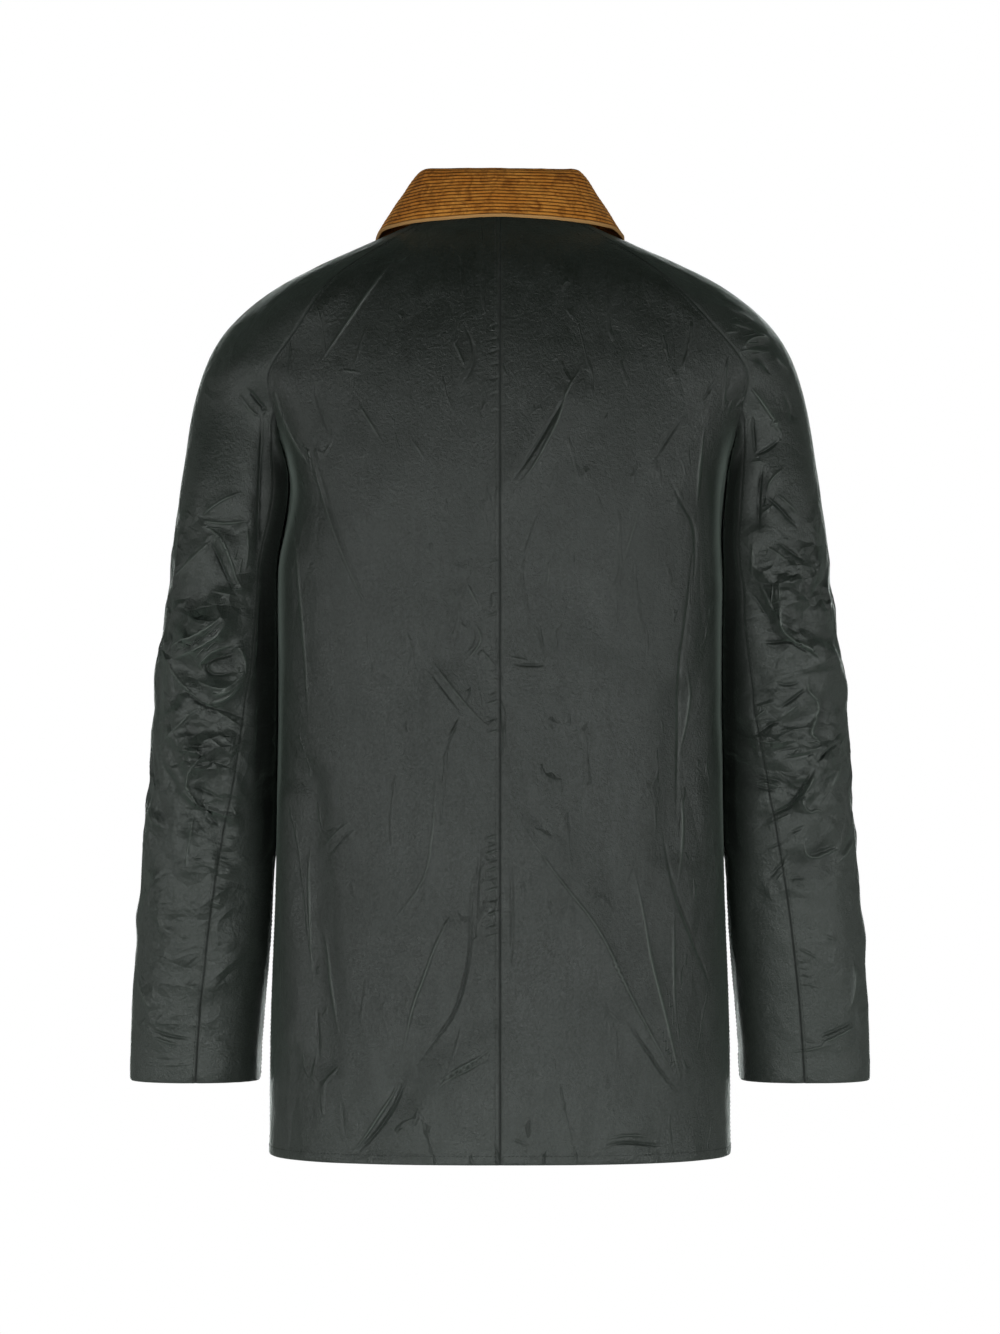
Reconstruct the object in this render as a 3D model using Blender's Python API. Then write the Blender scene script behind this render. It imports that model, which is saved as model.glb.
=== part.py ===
"""A waxed cotton jacket with a corduroy collar, filled out and empty.

Metres, +Z up. The wearer would face -Y, so the jacket's back is at +Y and its left is at +X. The origin is
at the base of the neck, where a wearer's neck and shoulders hold the jacket up.

One smooth skin is made first, from sections of the body, the raglan seams and the sleeves. It is creased,
cut along its seams into the pieces of the pattern, and each piece is thickened into a wall.
"""

import math
from collections import namedtuple

import bmesh
import bpy
import numpy as np
from mathutils import Matrix, Vector
from mathutils.bvhtree import BVHTree

# Sizes are in millimetres, and heights are above the hem.
METRES = 0.001
HELD_HEIGHT = 757.0  # base of the neck at the shoulder, the part's origin

CLOTH_WALL = 2.0
COLLAR_WALL = 2.6
SEAM_GAP = 0.3  # between two pieces that are sewn together
ZIP_REVEAL = 12.0  # width of zip that shows between the fronts
MOST_MITRE = 3.0  # most that a wall's thickness is stretched along the bisector of a sharp crease
MITRE_ROUNDS = 80
MITRE_STEP = 0.25
TIP_ANGLE = math.radians(100)  # a corner of a piece sharper than this is drawn back along its two edges

# Cells of the skin's control mesh, each of which becomes 2 by 2 facets.
BODY_ROWS = 11
CENTRE_COLUMNS = 5  # from a centre line to the top of the armhole
ARMHOLE_STEPS = 3  # from there to the underarm
OVERARM_COLUMNS = 6
ARMHOLE_SHARE = 0.30  # share of a quarter of the body, from centre to side, that lies under the armhole
SKIN_LEVELS = 1
FIT_ROUNDS = 5
ARC_SAMPLES = 60
ON_CENTRE = 0.01  # a point this near the centre plane is on it

# The body below the armholes: half width, and depth behind and before its middle.
BodySection = namedtuple("BodySection", "height half_width back front squareness")
BODY_SECTIONS = [
    BodySection(0, 188.5, 150, 148, 2.6),
    BodySection(110, 187.5, 150, 148, 2.6),
    BodySection(220, 183.5, 149, 147, 2.8),
    BodySection(340, 182.0, 147, 146, 3.0),
    BodySection(450, 182.5, 146, 149, 3.4),
    BodySection(556, 182.0, 146, 150, 3.9),
]

# The lower armhole, from the underarm up to where the sleeve's back seam starts.
ArmholePoint = namedtuple("ArmholePoint", "back front")
LOWER_ARMHOLE = [
    ArmholePoint((186, 0, 560), (186, 0, 560)),
    ArmholePoint((187, 35, 564), (186, -37, 564)),
    ArmholePoint((190, 65, 577), (186, -69, 577)),
]

# The raglan seams from there to the neck, with the centre lines of the back and front at each row. An arc
# angle is how far round each row turns between the centre line and the seam.
RaglanRow = namedtuple(
    "RaglanRow", "back front back_centre front_centre back_arc front_arc squareness"
)
RAGLAN_ROWS = [
    RaglanRow((195, 88, 604), (186, -96, 604), (142, 598), (-149, 590), 71, 70, 2.8),
    RaglanRow((197, 100, 640), (176, -107, 640), (135, 640), (-143, 622), 61, 60, 2.5),
    RaglanRow((168, 106, 676), (152, -114, 671), (124, 678), (-134, 650), 52, 52, 2.2),
    RaglanRow((136, 98, 709), (122, -106, 696), (111, 711), (-123, 674), 48, 46, 2.1),
    RaglanRow((96, 72, 738), (92, -87, 713), (91, 740), (-112, 692), 49, 47, 2.0),
]

# The top line of the sleeve from the armhole row to the last row before the neck.
OverarmRow = namedtuple("OverarmRow", "apex back_arc front_arc squareness")
OVERARM_ROWS = [
    OverarmRow((253, -2, 600), 84, 82, 2.3),
    OverarmRow((242, -2, 640), 79, 77, 2.2),
    OverarmRow((221, -3, 676), 72, 70, 2.1),
    OverarmRow((180, -5, 709), 66, 64, 2.0),
    OverarmRow((127, -8, 735), 56, 56, 2.0),
]

# The neck seam, an oval that slopes down to the front. Angles are from the centre back.
NECK_CENTRE_Y = -12.0
NECK_HALF_WIDTH = 74.0
NECK_BACK = 72.0
NECK_FRONT = 88.0
NECK_RISE_BACK = 10.0
NECK_DROP_FRONT = 52.0
NECK_BACK_SEAM_ANGLE = 50.0
NECK_FRONT_SEAM_ANGLE = 125.0

# The sleeve below the armhole. The seam angle is from the side by the body, round the back, to the back
# seam, the underarm drop is how much lower than the rest a ring is by the body, and the clearance is
# how far it stays from the body there.
SleeveRing = namedtuple(
    "SleeveRing",
    "height centre_x centre_y half_width half_depth squareness seam_angle underarm_drop clearance",
)
SLEEVE_RINGS = [
    SleeveRing(552, 217.0, -4.5, 43.0, 92.5, 2.6, 64, 28, 7.0),
    SleeveRing(506, 219.5, -4.8, 47.0, 90.8, 2.6, 63, 22, 5.5),
    SleeveRing(460, 222.5, -5, 50.0, 88, 2.6, 63, 14, 4.5),
    SleeveRing(412, 226.0, -6.5, 52.0, 84.5, 2.6, 66, 6, 3.8),
    SleeveRing(364, 229.5, -8, 54.0, 80, 2.5, 70, 0, 3.6),
    SleeveRing(316, 232.5, -11, 55.5, 76, 2.5, 75, 0, 3.6),
    SleeveRing(268, 236.0, -15, 56.0, 72, 2.4, 80, 0, 3.6),
    SleeveRing(217, 240.0, -19, 55.5, 68, 2.3, 84, 0, 3.6),
    SleeveRing(166, 244.5, -24, 55.0, 64, 2.3, 86, 0, 3.6),
    SleeveRing(112, 249.0, -29, 54.5, 60, 2.3, 87, 0, 3.6),
    SleeveRing(57, 251.5, -34, 53.0, 56, 2.3, 88, 0, 3.6),
]

# The largest folds. Each runs between two places seen from one side, given as across and height, and is
# raised where its depth is positive and sunk where it is negative. Across is x from behind or before, and
# y from the left or the right.
Fold = namedtuple("Fold", "on seen_from start end half_width depth")
FOLDS = [
    Fold("body", "back", (-62, 222), (-144, 76), 30, 5),
    Fold("body", "back", (-146, 368), (-140, 254), 28, -5),
    Fold("body", "back", (64, 100), (78, 60), 26, -5),
    Fold("body", "back", (78, 60), (112, 10), 26, -4),
    Fold("body", "back", (4, 98), (46, 70), 24, 3),
    Fold("body", "back", (153, 306), (141, 84), 24, -5),
    Fold("body", "back", (170, 290), (166, 98), 20, 4),
    Fold("body", "back", (-8, 546), (-64, 624), 28, 3),
    Fold("body", "back", (176, 620), (148, 552), 26, 4),
    Fold("body", "back", (-60, 452), (-104, 404), 30, -3),
    Fold("body", "back", (40, 372), (52, 268), 34, 3),
    Fold("body", "front", (88, 392), (104, 176), 32, 5),
    Fold("body", "front", (-70, 342), (-96, 128), 32, -5),
    Fold("body", "front", (124, 556), (70, 466), 30, -4),
    Fold("body", "front", (-118, 540), (-66, 452), 30, -4),
    Fold("body", "front", (-138, 300), (-128, 90), 26, 4),
    Fold("body", "front", (140, 250), (126, 60), 26, -4),
    Fold("sleeve", "back", (242, 513), (214, 508), 22, -4),
    Fold("sleeve", "back", (222, 438), (260, 414), 24, 5),
    Fold("sleeve", "back", (226, 412), (244, 394), 20, -4),
    Fold("sleeve", "back", (206, 398), (232, 371), 22, 4),
    Fold("sleeve", "back", (240, 328), (252, 301), 22, 4),
    Fold("sleeve", "back", (254, 300), (229, 268), 22, -4),
    Fold("sleeve", "back", (210, 174), (236, 142), 22, 4),
    Fold("sleeve", "back", (-200, 497), (-206, 482), 24, 4),
    Fold("sleeve", "back", (-202, 457), (-222, 433), 22, -4),
    Fold("sleeve", "back", (-226, 430), (-258, 404), 22, 5),
    Fold("sleeve", "back", (-258, 404), (-278, 386), 22, 5),
    Fold("sleeve", "back", (-199, 360), (-248, 380), 22, 4),
    Fold("sleeve", "back", (-194, 315), (-231, 299), 22, -4),
    Fold("sleeve", "back", (-215, 270), (-240, 286), 22, -4),
    Fold("sleeve", "back", (-248, 232), (-264, 245), 20, -3),
    Fold("sleeve", "front", (222, 452), (262, 424), 24, 5),
    Fold("sleeve", "front", (210, 384), (246, 362), 24, -4),
    Fold("sleeve", "front", (228, 290), (256, 262), 22, -4),
    Fold("sleeve", "front", (212, 190), (244, 170), 22, 4),
    Fold("sleeve", "front", (-222, 440), (-260, 408), 24, 5),
    Fold("sleeve", "front", (-208, 358), (-246, 334), 24, -4),
    Fold("sleeve", "front", (-228, 268), (-254, 244), 22, -4),
    Fold("sleeve", "front", (-214, 168), (-246, 150), 22, 4),
    Fold("sleeve", "left", (34, 470), (-26, 448), 24, -2),
    Fold("sleeve", "left", (30, 402), (-34, 372), 24, 2),
    Fold("sleeve", "left", (16, 300), (-42, 322), 24, -2),
    Fold("sleeve", "left", (-2, 196), (-54, 176), 22, 2),
    Fold("sleeve", "right", (30, 456), (-30, 484), 24, -2),
    Fold("sleeve", "right", (26, 376), (-36, 404), 24, 2),
    Fold("sleeve", "right", (12, 286), (-44, 262), 24, -2),
    Fold("sleeve", "right", (-4, 172), (-56, 192), 22, 2),
]
# How each side is seen: the axis that runs across, the axis that faces the viewer, and which way it faces.
Side = namedtuple("Side", "across facing sign")
SIDES = {"back": Side(0, 1, 1), "front": Side(0, 1, -1), "left": Side(1, 0, 1), "right": Side(1, 0, -1)}
FACING_SHARPNESS = 2.5  # how fast a fold takes hold where the skin turns to face the viewer

# The left armhole hangs nearer the middle of the back than the right one: where the skin is pulled across.
ARMHOLE_PULL = 13.0
PULL_HEIGHTS = (470, 556, 650, 716)  # starts, is full, is still full, ends
PULL_ACROSS = (70, 172, 206, 262)
PULL_BEHIND = (0, 60)

# The collar: where its fold line and its lower edge run, by the angle round the neck.
CollarLine = namedtuple("CollarLine", "angle fold edge")
COLLAR_LINES = [
    CollarLine(0, (0, 50, 800), (0, 88, 761)),
    CollarLine(30, (36, 45, 800), (42, 82, 759)),
    CollarLine(60, (61, 22, 800), (80, 55, 756)),
    CollarLine(90, (66, -14, 794), (99, 4, 752)),
    CollarLine(120, (54, -50, 778), (100, -48, 738)),
    CollarLine(150, (32, -78, 757), (86, -98, 710)),
    CollarLine(173, (9, -88, 739), (48, -132, 668)),
]
COLLAR_COLUMNS = 26
COLLAR_FOLD_RADIUS = 4.2
STAND_MIDDLE = 0.55  # how far up the stand its middle row lies
FallRow = namedtuple("FallRow", "share bulge")  # how far down the fall, and how proud of a straight line
FALL_ROWS = [FallRow(0.36, 2.0), FallRow(0.7, 1.6), FallRow(1.0, 0.0)]
COLLAR_SEAT = 1.2  # height of the stand's middle above the neck seam
COLLAR_LIFT = 4.2  # least distance of the fall above the cloth it lies over

TAPE_EDGE = 1.0  # distance of each tape from the centre front
TAPE_WIDTH = 15.0
TAPE_WALL = 1.0

# The zip's slider, measured across, along the zip and out from the tapes.
SLIDER_BELOW_NECK = 16.0
SLIDER_HALF_WIDTH = 4.6
SLIDER_HALF_LENGTH = 6.5
SLIDER_PLATE = 1.6
SLIDER_WEB_HALF_WIDTH = 0.6
BRIDGE_HALF_WIDTH = 1.2
BRIDGE_EYE = 3.0
BRIDGE_WALL = 1.4

TAB_BAR = 1.6
TAB_HALF_WIDTH = 4.0
TAB_EYE_HALF_WIDTH = 1.9
TAB_EYE_LENGTH = 5.2
TAB_LENGTH = 30.0
TAB_CORNER = 1.0
TAB_TIP_CORNER = 2.0

Finish = namedtuple("Finish", "colour roughness metallic")
WAXED_COTTON = Finish((0.035, 0.037, 0.032), 0.62, 0.0)
CORDUROY = Finish((0.205, 0.098, 0.026), 0.9, 0.0)
ZIP_TAPE = Finish((0.012, 0.012, 0.012), 0.8, 0.0)
BRASS = Finish((0.50, 0.36, 0.16), 0.35, 1.0)


def clear_scene():
    for thing in list(bpy.data.objects):
        bpy.data.objects.remove(thing, do_unlink=True)


def placed(point):
    """A point in millimetres above the hem, in the part's own frame and metres."""
    return Vector((point[0], point[1], point[2] - HELD_HEIGHT)) * METRES


def smooth_between(rows, key, value, place):
    """A value at a place between rows, on a smooth curve through all the rows."""
    places = [getattr(row, key) for row in rows]
    values = [np.array(getattr(row, value), float) for row in rows]
    last = len(rows) - 2
    first = min(max(int(np.searchsorted(places, place, side="right")) - 1, 0), last)
    span = places[first + 1] - places[first]
    step = (place - places[first]) / span

    def slope(index):
        low, high = max(index - 1, 0), min(index + 1, len(rows) - 1)
        return (values[high] - values[low]) / (places[high] - places[low])

    start, end = values[first], values[first + 1]
    leave, arrive = slope(first) * span, slope(first + 1) * span
    return (
        (1 + 2 * step) * (1 - step) ** 2 * start
        + step * (1 - step) ** 2 * leave
        + step**2 * (3 - 2 * step) * end
        - step**2 * (1 - step) * arrive
    )


def evenly(points, count):
    """The same line as count + 1 points, spaced evenly along it."""
    points = np.array(points, float)
    lengths = np.linalg.norm(np.diff(points, axis=0), axis=1)
    reached = np.concatenate([[0], np.cumsum(lengths)])
    wanted = np.linspace(0, reached[-1], count + 1)
    return [tuple(np.interp(at, reached, points[:, axis]) for axis in range(3)) for at in wanted]


def arc(apex, end, run_axis, angle, count, squareness=2.0):
    """Points from the apex of an arc to its end. The arc leaves the apex along one axis and falls away."""
    apex, end = np.array(apex, float), np.array(end, float)
    power = 2 / squareness
    run = np.zeros(3)
    run[run_axis] = (end - apex)[run_axis]
    fall = end - apex - run
    turns = np.radians(np.linspace(0, angle, ARC_SAMPLES))
    along = np.sin(turns) ** power
    fallen = 1 - np.maximum(np.cos(turns), 0) ** power
    line = [apex + run * out / along[-1] + fall * down / fallen[-1] for out, down in zip(along, fallen)]
    return evenly(line, count)


def neck_point(angle):
    """A point of the neck seam, at an angle in degrees from the centre back towards the left."""
    turn = math.radians(angle)
    behind = math.cos(turn) > 0
    depth = NECK_BACK if behind else NECK_FRONT
    rise = NECK_RISE_BACK if behind else NECK_DROP_FRONT
    return (
        NECK_HALF_WIDTH * math.sin(turn),
        NECK_CENTRE_Y + depth * math.cos(turn),
        HELD_HEIGHT + rise * math.cos(turn),
    )


def neck_arc(start_angle, end_angle, count):
    return [neck_point(angle) for angle in np.linspace(start_angle, end_angle, count + 1)]


def body_section(height):
    """The body's half width, back depth, front depth and squareness at a height."""
    height = min(max(height, 0.0), BODY_SECTIONS[-1].height)
    sizes = BodySection._fields[1:]
    return [float(smooth_between(BODY_SECTIONS, "height", size, height)) for size in sizes]


def body_half_width(y, height):
    """How far out the side of the body is, at a depth and a height."""
    half_width, back, front, squareness = body_section(height)
    depth = back if y > 0 else front
    return half_width * max(1 - (abs(y) / depth) ** squareness, 0.0) ** (1 / squareness)


def body_point(which, share, height):
    """A point of the body, at a share of the way from the centre back or front round to the side."""
    half_width, back, front, squareness = body_section(height)
    middle = (0, back if which == "back" else -front, height)
    quarter = np.array(arc(middle, (half_width, 0, height), 0, 90, ARC_SAMPLES, squareness))
    place = share * ARC_SAMPLES
    return tuple(np.interp(place, range(ARC_SAMPLES + 1), quarter[:, axis]) for axis in range(3))


def body_rows(which):
    """Rows of the back or the front from the hem to the armhole, each from the centre round to the side."""
    outer = 1 - ARMHOLE_SHARE
    shares = list(np.linspace(0, outer, CENTRE_COLUMNS + 1))
    shares += list(np.linspace(outer, 1, ARMHOLE_STEPS + 1)[1:])
    top = yoke_rows(which)[0] + [getattr(point, which) for point in LOWER_ARMHOLE[::-1]]
    rows = []
    for reach in np.linspace(0, 1, BODY_ROWS + 1)[:-1]:
        rows.append([body_point(which, share, reach * above[2]) for share, above in zip(shares, top)])
    return rows + [top]


def yoke_rows(which):
    """Rows of the back or the front from the armhole to the neck, each from the centre to the seam."""
    rows = []
    for row in RAGLAN_ROWS:
        y, height = getattr(row, which + "_centre")
        seam = getattr(row, which)
        angle = getattr(row, which + "_arc")
        rows.append(arc((0, y, height), seam, 0, angle, CENTRE_COLUMNS, row.squareness))
    if which == "back":
        rows.append(neck_arc(0, NECK_BACK_SEAM_ANGLE, CENTRE_COLUMNS))
    else:
        rows.append(neck_arc(180, NECK_FRONT_SEAM_ANGLE, CENTRE_COLUMNS))
    return rows


def overarm_rows():
    """Rows of the sleeve over the shoulder, each from the back seam to the front one."""
    half = OVERARM_COLUMNS // 2
    rows = []
    for row, seams in zip(OVERARM_ROWS, RAGLAN_ROWS):
        behind = arc(row.apex, seams.back, 1, row.back_arc, half, row.squareness)
        before = arc(row.apex, seams.front, 1, row.front_arc, half, row.squareness)
        rows.append(behind[::-1] + before[1:])
    rows.append(neck_arc(NECK_BACK_SEAM_ANGLE, NECK_FRONT_SEAM_ANGLE, OVERARM_COLUMNS))
    return rows


def ring_points(ring):
    """One ring of the sleeve, from the underarm seam round the back and the outside to the seam again."""
    dense = []
    for angle in range(361):
        turn = math.radians(angle)
        power = 2 / ring.squareness
        across = -math.copysign(abs(math.cos(turn)) ** power, math.cos(turn))
        deep = math.copysign(abs(math.sin(turn)) ** power, math.sin(turn))
        y = ring.centre_y + ring.half_depth * deep
        height = ring.height - ring.underarm_drop * ((1 + math.cos(turn)) / 2) ** 2
        x = ring.centre_x + ring.half_width * across
        x = max(x, body_half_width(y, height) + ring.clearance)
        dense.append((x, y, height))
    front_angle = 360 - ring.seam_angle
    behind = evenly(dense[: ring.seam_angle + 1], ARMHOLE_STEPS)
    over = evenly(dense[ring.seam_angle : front_angle + 1], OVERARM_COLUMNS)
    before = evenly(dense[front_angle:], ARMHOLE_STEPS)
    return behind + over[1:] + before[1:]


def sleeve_rows():
    """Rows of the sleeve from the armhole down to the cuff, the first along the raglan seams."""
    behind = [point.back for point in LOWER_ARMHOLE]
    before = [point.front for point in LOWER_ARMHOLE]
    armhole = behind + overarm_rows()[0] + before[::-1]
    return [armhole] + [ring_points(ring) for ring in SLEEVE_RINGS]


class Cage:
    """The control mesh of the skin: points in millimetres, and four-sided cells that each name a piece."""

    def __init__(self):
        self.points = []
        self.cells = []
        self.pieces = []
        self.numbers = {}

    def number(self, point):
        key = tuple(round(value, 2) + 0.0 for value in point)
        if key not in self.numbers:
            self.numbers[key] = len(self.points)
            self.points.append(tuple(point))
        return self.numbers[key]

    def add_rows(self, piece, rows, mirror):
        flip = -1 if mirror else 1
        numbers = [[self.number((flip * x, y, z)) for x, y, z in row] for row in rows]
        for low, high in zip(numbers, numbers[1:]):
            for corner in range(len(low) - 1):
                cell = (low[corner], low[corner + 1], high[corner + 1], high[corner])
                self.cells.append(cell[::-1] if mirror else cell)
                self.pieces.append(piece)


def build_cage():
    """The whole jacket's control mesh, with every cell facing out."""
    cage = Cage()
    sleeve = sleeve_rows()
    for side, mirror in (("left", False), ("right", True)):
        for which in ("back", "front"):
            for rows in (body_rows(which), yoke_rows(which)):
                outward = [row[::-1] for row in rows] if which == "back" else rows
                cage.add_rows(which + "_" + side, outward, mirror)
        cage.add_rows("sleeve_under_" + side, [row[: ARMHOLE_STEPS + 1] for row in sleeve], mirror)
        cage.add_rows("sleeve_top_" + side, [row[ARMHOLE_STEPS:] for row in sleeve], mirror)
        cage.add_rows("sleeve_top_" + side, [row[::-1] for row in overarm_rows()], mirror)
    return cage


def subdivided(points, cells, marks, levels):
    """The smooth surface of a control mesh: its points, faces, face marks and number of cage points."""
    mesh = bpy.data.meshes.new("skin")
    mesh.from_pydata([tuple(point) for point in points], [], cells)
    mesh.polygons.foreach_set("material_index", marks)
    holder = bpy.data.objects.new("skin", mesh)
    bpy.context.scene.collection.objects.link(holder)
    smooth = holder.modifiers.new("smooth", "SUBSURF")
    smooth.levels = levels
    smooth.render_levels = levels
    bpy.context.view_layer.update()
    result = holder.evaluated_get(bpy.context.evaluated_depsgraph_get()).to_mesh()
    new_points = np.array([vertex.co[:] for vertex in result.vertices])
    faces = [tuple(face.vertices) for face in result.polygons]
    new_marks = [face.material_index for face in result.polygons]
    bpy.data.objects.remove(holder)
    bpy.data.meshes.remove(mesh)
    return new_points, faces, new_marks


def fitted_skin(cage, levels):
    """The smooth surface that passes through the cage's own points."""
    names = sorted(set(cage.pieces))
    marks = [names.index(piece) for piece in cage.pieces]
    wanted = np.array(cage.points)
    control = wanted.copy()
    for _ in range(FIT_ROUNDS):
        reached = subdivided(control, cage.cells, marks, 1)[0][: len(wanted)]
        control += wanted - reached
    points, faces, face_marks = subdivided(control, cage.cells, marks, levels)
    return points, faces, [names[mark] for mark in face_marks]


def triangles_of(points, faces):
    """Each four-sided face as two triangles, across its shorter diagonal."""
    triangles = []
    for a, b, c, d in faces:
        if np.linalg.norm(points[a] - points[c]) <= np.linalg.norm(points[b] - points[d]):
            triangles += [(a, b, c), (a, c, d)]
        else:
            triangles += [(a, b, d), (b, c, d)]
    return triangles


def unit(vectors):
    return vectors / np.linalg.norm(vectors, axis=-1, keepdims=True)


def normals_of(points, faces):
    """Unit normals at the points of four-sided faces, each face counting by its angle at the point."""
    corners = points[np.array(faces)]
    normals = np.zeros_like(points)
    for corner in range(4):
        here = corners[:, corner]
        ahead = unit(corners[:, (corner + 1) % 4] - here)
        behind = unit(corners[:, corner - 1] - here)
        angle = np.arccos(np.clip((ahead * behind).sum(axis=1), -1, 1))
        weighted = unit(np.cross(ahead, behind)) * angle[:, None]
        np.add.at(normals, [face[corner] for face in faces], weighted)
    return unit(normals)


def wall_directions(points, faces):
    """The shortest moves out from the points that carry every face about a point at least one unit out.

    Each face about a point adds to the point's move along its own normal, until the move is long enough. At
    the bottom of a cleft no such move may exist, and the longest one allowed is used.
    """
    corners = points[np.array(faces)]
    facing = unit(np.cross(corners[:, 2] - corners[:, 0], corners[:, 3] - corners[:, 1]))
    numbers = np.array(faces)
    pushes = np.full(numbers.shape, MITRE_STEP)
    moves = np.zeros_like(points)
    for _ in range(MITRE_ROUNDS):
        moves[:] = 0
        for corner in range(4):
            np.add.at(moves, numbers[:, corner], facing * pushes[:, corner, None])
        reached = np.einsum("fcx,fx->fc", moves[numbers], facing)
        pushes = np.maximum(pushes + MITRE_STEP * (1 - reached), 0)
    lengths = np.linalg.norm(moves, axis=1, keepdims=True)
    return moves * np.minimum(1, MOST_MITRE / lengths)


def line_distance(across, heights, start, end):
    """How far points of a view are from the line between two places of it."""
    start, end = np.array(start, float), np.array(end, float)
    along = end - start
    offset = np.stack([across - start[0], heights - start[1]], axis=1)
    step = np.clip(offset @ along / (along @ along), 0, 1)
    return np.linalg.norm(offset - step[:, None] * along, axis=1)


def soft_step(value):
    value = np.clip(value, 0, 1)
    return value * value * (3 - 2 * value)


def pull_armhole(points):
    """The skin with the back of its left armhole pulled towards the centre back."""
    x, y, height = points.T
    share = np.ones(len(points))
    for value, (start, full, still_full, end) in ((height, PULL_HEIGHTS), (x, PULL_ACROSS)):
        share *= soft_step((value - start) / (full - start)) * soft_step((end - value) / (end - still_full))
    share *= soft_step((y - PULL_BEHIND[0]) / (PULL_BEHIND[1] - PULL_BEHIND[0]))
    return points - np.outer(share, [ARMHOLE_PULL, 0, 0])


def fold_skin(points, faces, pieces):
    """The skin with its folds pressed into it."""
    normals = normals_of(points, faces)
    on_sleeve = np.zeros(len(points), bool)
    for face, piece in zip(faces, pieces):
        if piece.startswith("sleeve"):
            on_sleeve[list(face)] = True
    moved = np.zeros(len(points))
    for fold in FOLDS:
        side = SIDES[fold.seen_from]
        facing = soft_step(normals[:, side.facing] * side.sign * FACING_SHARPNESS)
        where = on_sleeve if fold.on == "sleeve" else ~on_sleeve
        if side.facing == 0:
            where = where & (points[:, 0] * side.sign > 0)
        away = line_distance(points[:, side.across], points[:, 2], fold.start, fold.end) / fold.half_width
        moved += fold.depth * soft_step(1 - away) * facing * where
    return points + normals * moved[:, None]


def edge_setbacks(points, normals, faces, gap_at):
    """How each point on a piece's own edge moves into the piece, to leave its share of the seam's gap."""
    once = {}
    for face in faces:
        for first, second in zip(face, face[1:] + face[:1]):
            ends = frozenset((first, second))
            once[ends] = None if ends in once else (first, second)
    demands = {}
    for first, second in filter(None, once.values()):
        along = points[second] - points[first]
        inward = unit(np.cross(normals[first] + normals[second], along))
        gap = gap_at(points[first], points[second])
        demands.setdefault(first, []).append((inward, gap, unit(along)))
        demands.setdefault(second, []).append((inward, gap, -unit(along)))
    return {corner: corner_setback(rows) for corner, rows in demands.items()}


def corner_setback(rows):
    """The move of a piece's point that draws each of its edges in by its own distance.

    Each row is one edge's inward direction, its distance, and its own direction away from the point.
    """
    inward, gaps, along = (np.array(values) for values in zip(*rows))
    if len(rows) == 2:
        angle = math.acos(float(np.clip(along[0] @ along[1], -1, 1)))
        is_tip = along[0] @ inward[1] > 0 and along[1] @ inward[0] > 0
        if is_tip and angle < TIP_ANGLE:
            return (along[0] * gaps[1] + along[1] * gaps[0]) / math.sin(angle)
    return np.linalg.lstsq(inward, gaps, rcond=0.05)[0]


def seam_setback(first, second):
    """Half the zip's width at the centre front, and half a seam's gap elsewhere."""
    at_centre = abs(first[0]) < ON_CENTRE and abs(second[0]) < ON_CENTRE
    return ZIP_REVEAL / 2 if at_centre and first[1] < 0 else SEAM_GAP / 2


def material(name, finish):
    new = bpy.data.materials.new(name)
    new.use_nodes = True
    shader = new.node_tree.nodes["Principled BSDF"]
    shader.inputs["Base Color"].default_value = (*finish.colour, 1.0)
    shader.inputs["Roughness"].default_value = finish.roughness
    shader.inputs["Metallic"].default_value = finish.metallic
    return new


def new_object(name, mesh, finish):
    mesh.materials.append(material(name, finish))
    thing = bpy.data.objects.new(name, mesh)
    bpy.context.scene.collection.objects.link(thing)
    return thing


def walled_object(name, outer, inner, triangles, finish):
    """A closed wall between an outer and an inner sheet of the same triangles, in the jacket's sizes."""
    used = sorted({corner for triangle in triangles for corner in triangle})
    body = bmesh.new()
    tops = {corner: body.verts.new(placed(outer[corner])) for corner in used}
    bottoms = {corner: body.verts.new(placed(inner[corner])) for corner in used}
    for a, b, c in triangles:
        body.faces.new((tops[a], tops[b], tops[c]))
        body.faces.new((bottoms[c], bottoms[b], bottoms[a]))
    edges = {(a, b) for triangle in triangles for a, b in zip(triangle, triangle[1:] + triangle[:1])}
    for a, b in sorted(edges):
        if (b, a) in edges:
            continue
        # The diagonal depends on the numbers alone, so the walls on both sides of a seam twist alike.
        if a < b:
            body.faces.new((tops[b], tops[a], bottoms[b]))
            body.faces.new((tops[a], bottoms[a], bottoms[b]))
        else:
            body.faces.new((tops[b], tops[a], bottoms[a]))
            body.faces.new((tops[b], bottoms[a], bottoms[b]))
    mesh = bpy.data.meshes.new(name)
    body.to_mesh(mesh)
    body.free()
    mesh.shade_smooth()
    mesh.set_sharp_from_angle(angle=math.radians(40))
    return new_object(name, mesh, finish)


def make_panels(points, faces, pieces):
    """Every piece of the pattern, cut from the skin."""
    normals = normals_of(points, faces)
    wall = CLOTH_WALL * wall_directions(points, faces)
    for name in sorted(set(pieces)):
        own = [face for face, piece in zip(faces, pieces) if piece == name]
        outer = points.copy()
        for corner, move in edge_setbacks(points, normals, own, seam_setback).items():
            outer[corner] += move
        walled_object(name, outer, outer - wall, triangles_of(outer, own), WAXED_COTTON)


def grid_faces(rows, columns):
    """Four-sided faces of a grid whose points are numbered row by row."""
    starts = [row * columns + column for row in range(rows - 1) for column in range(columns - 1)]
    return [(start, start + 1, start + columns + 1, start + columns) for start in starts]


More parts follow.
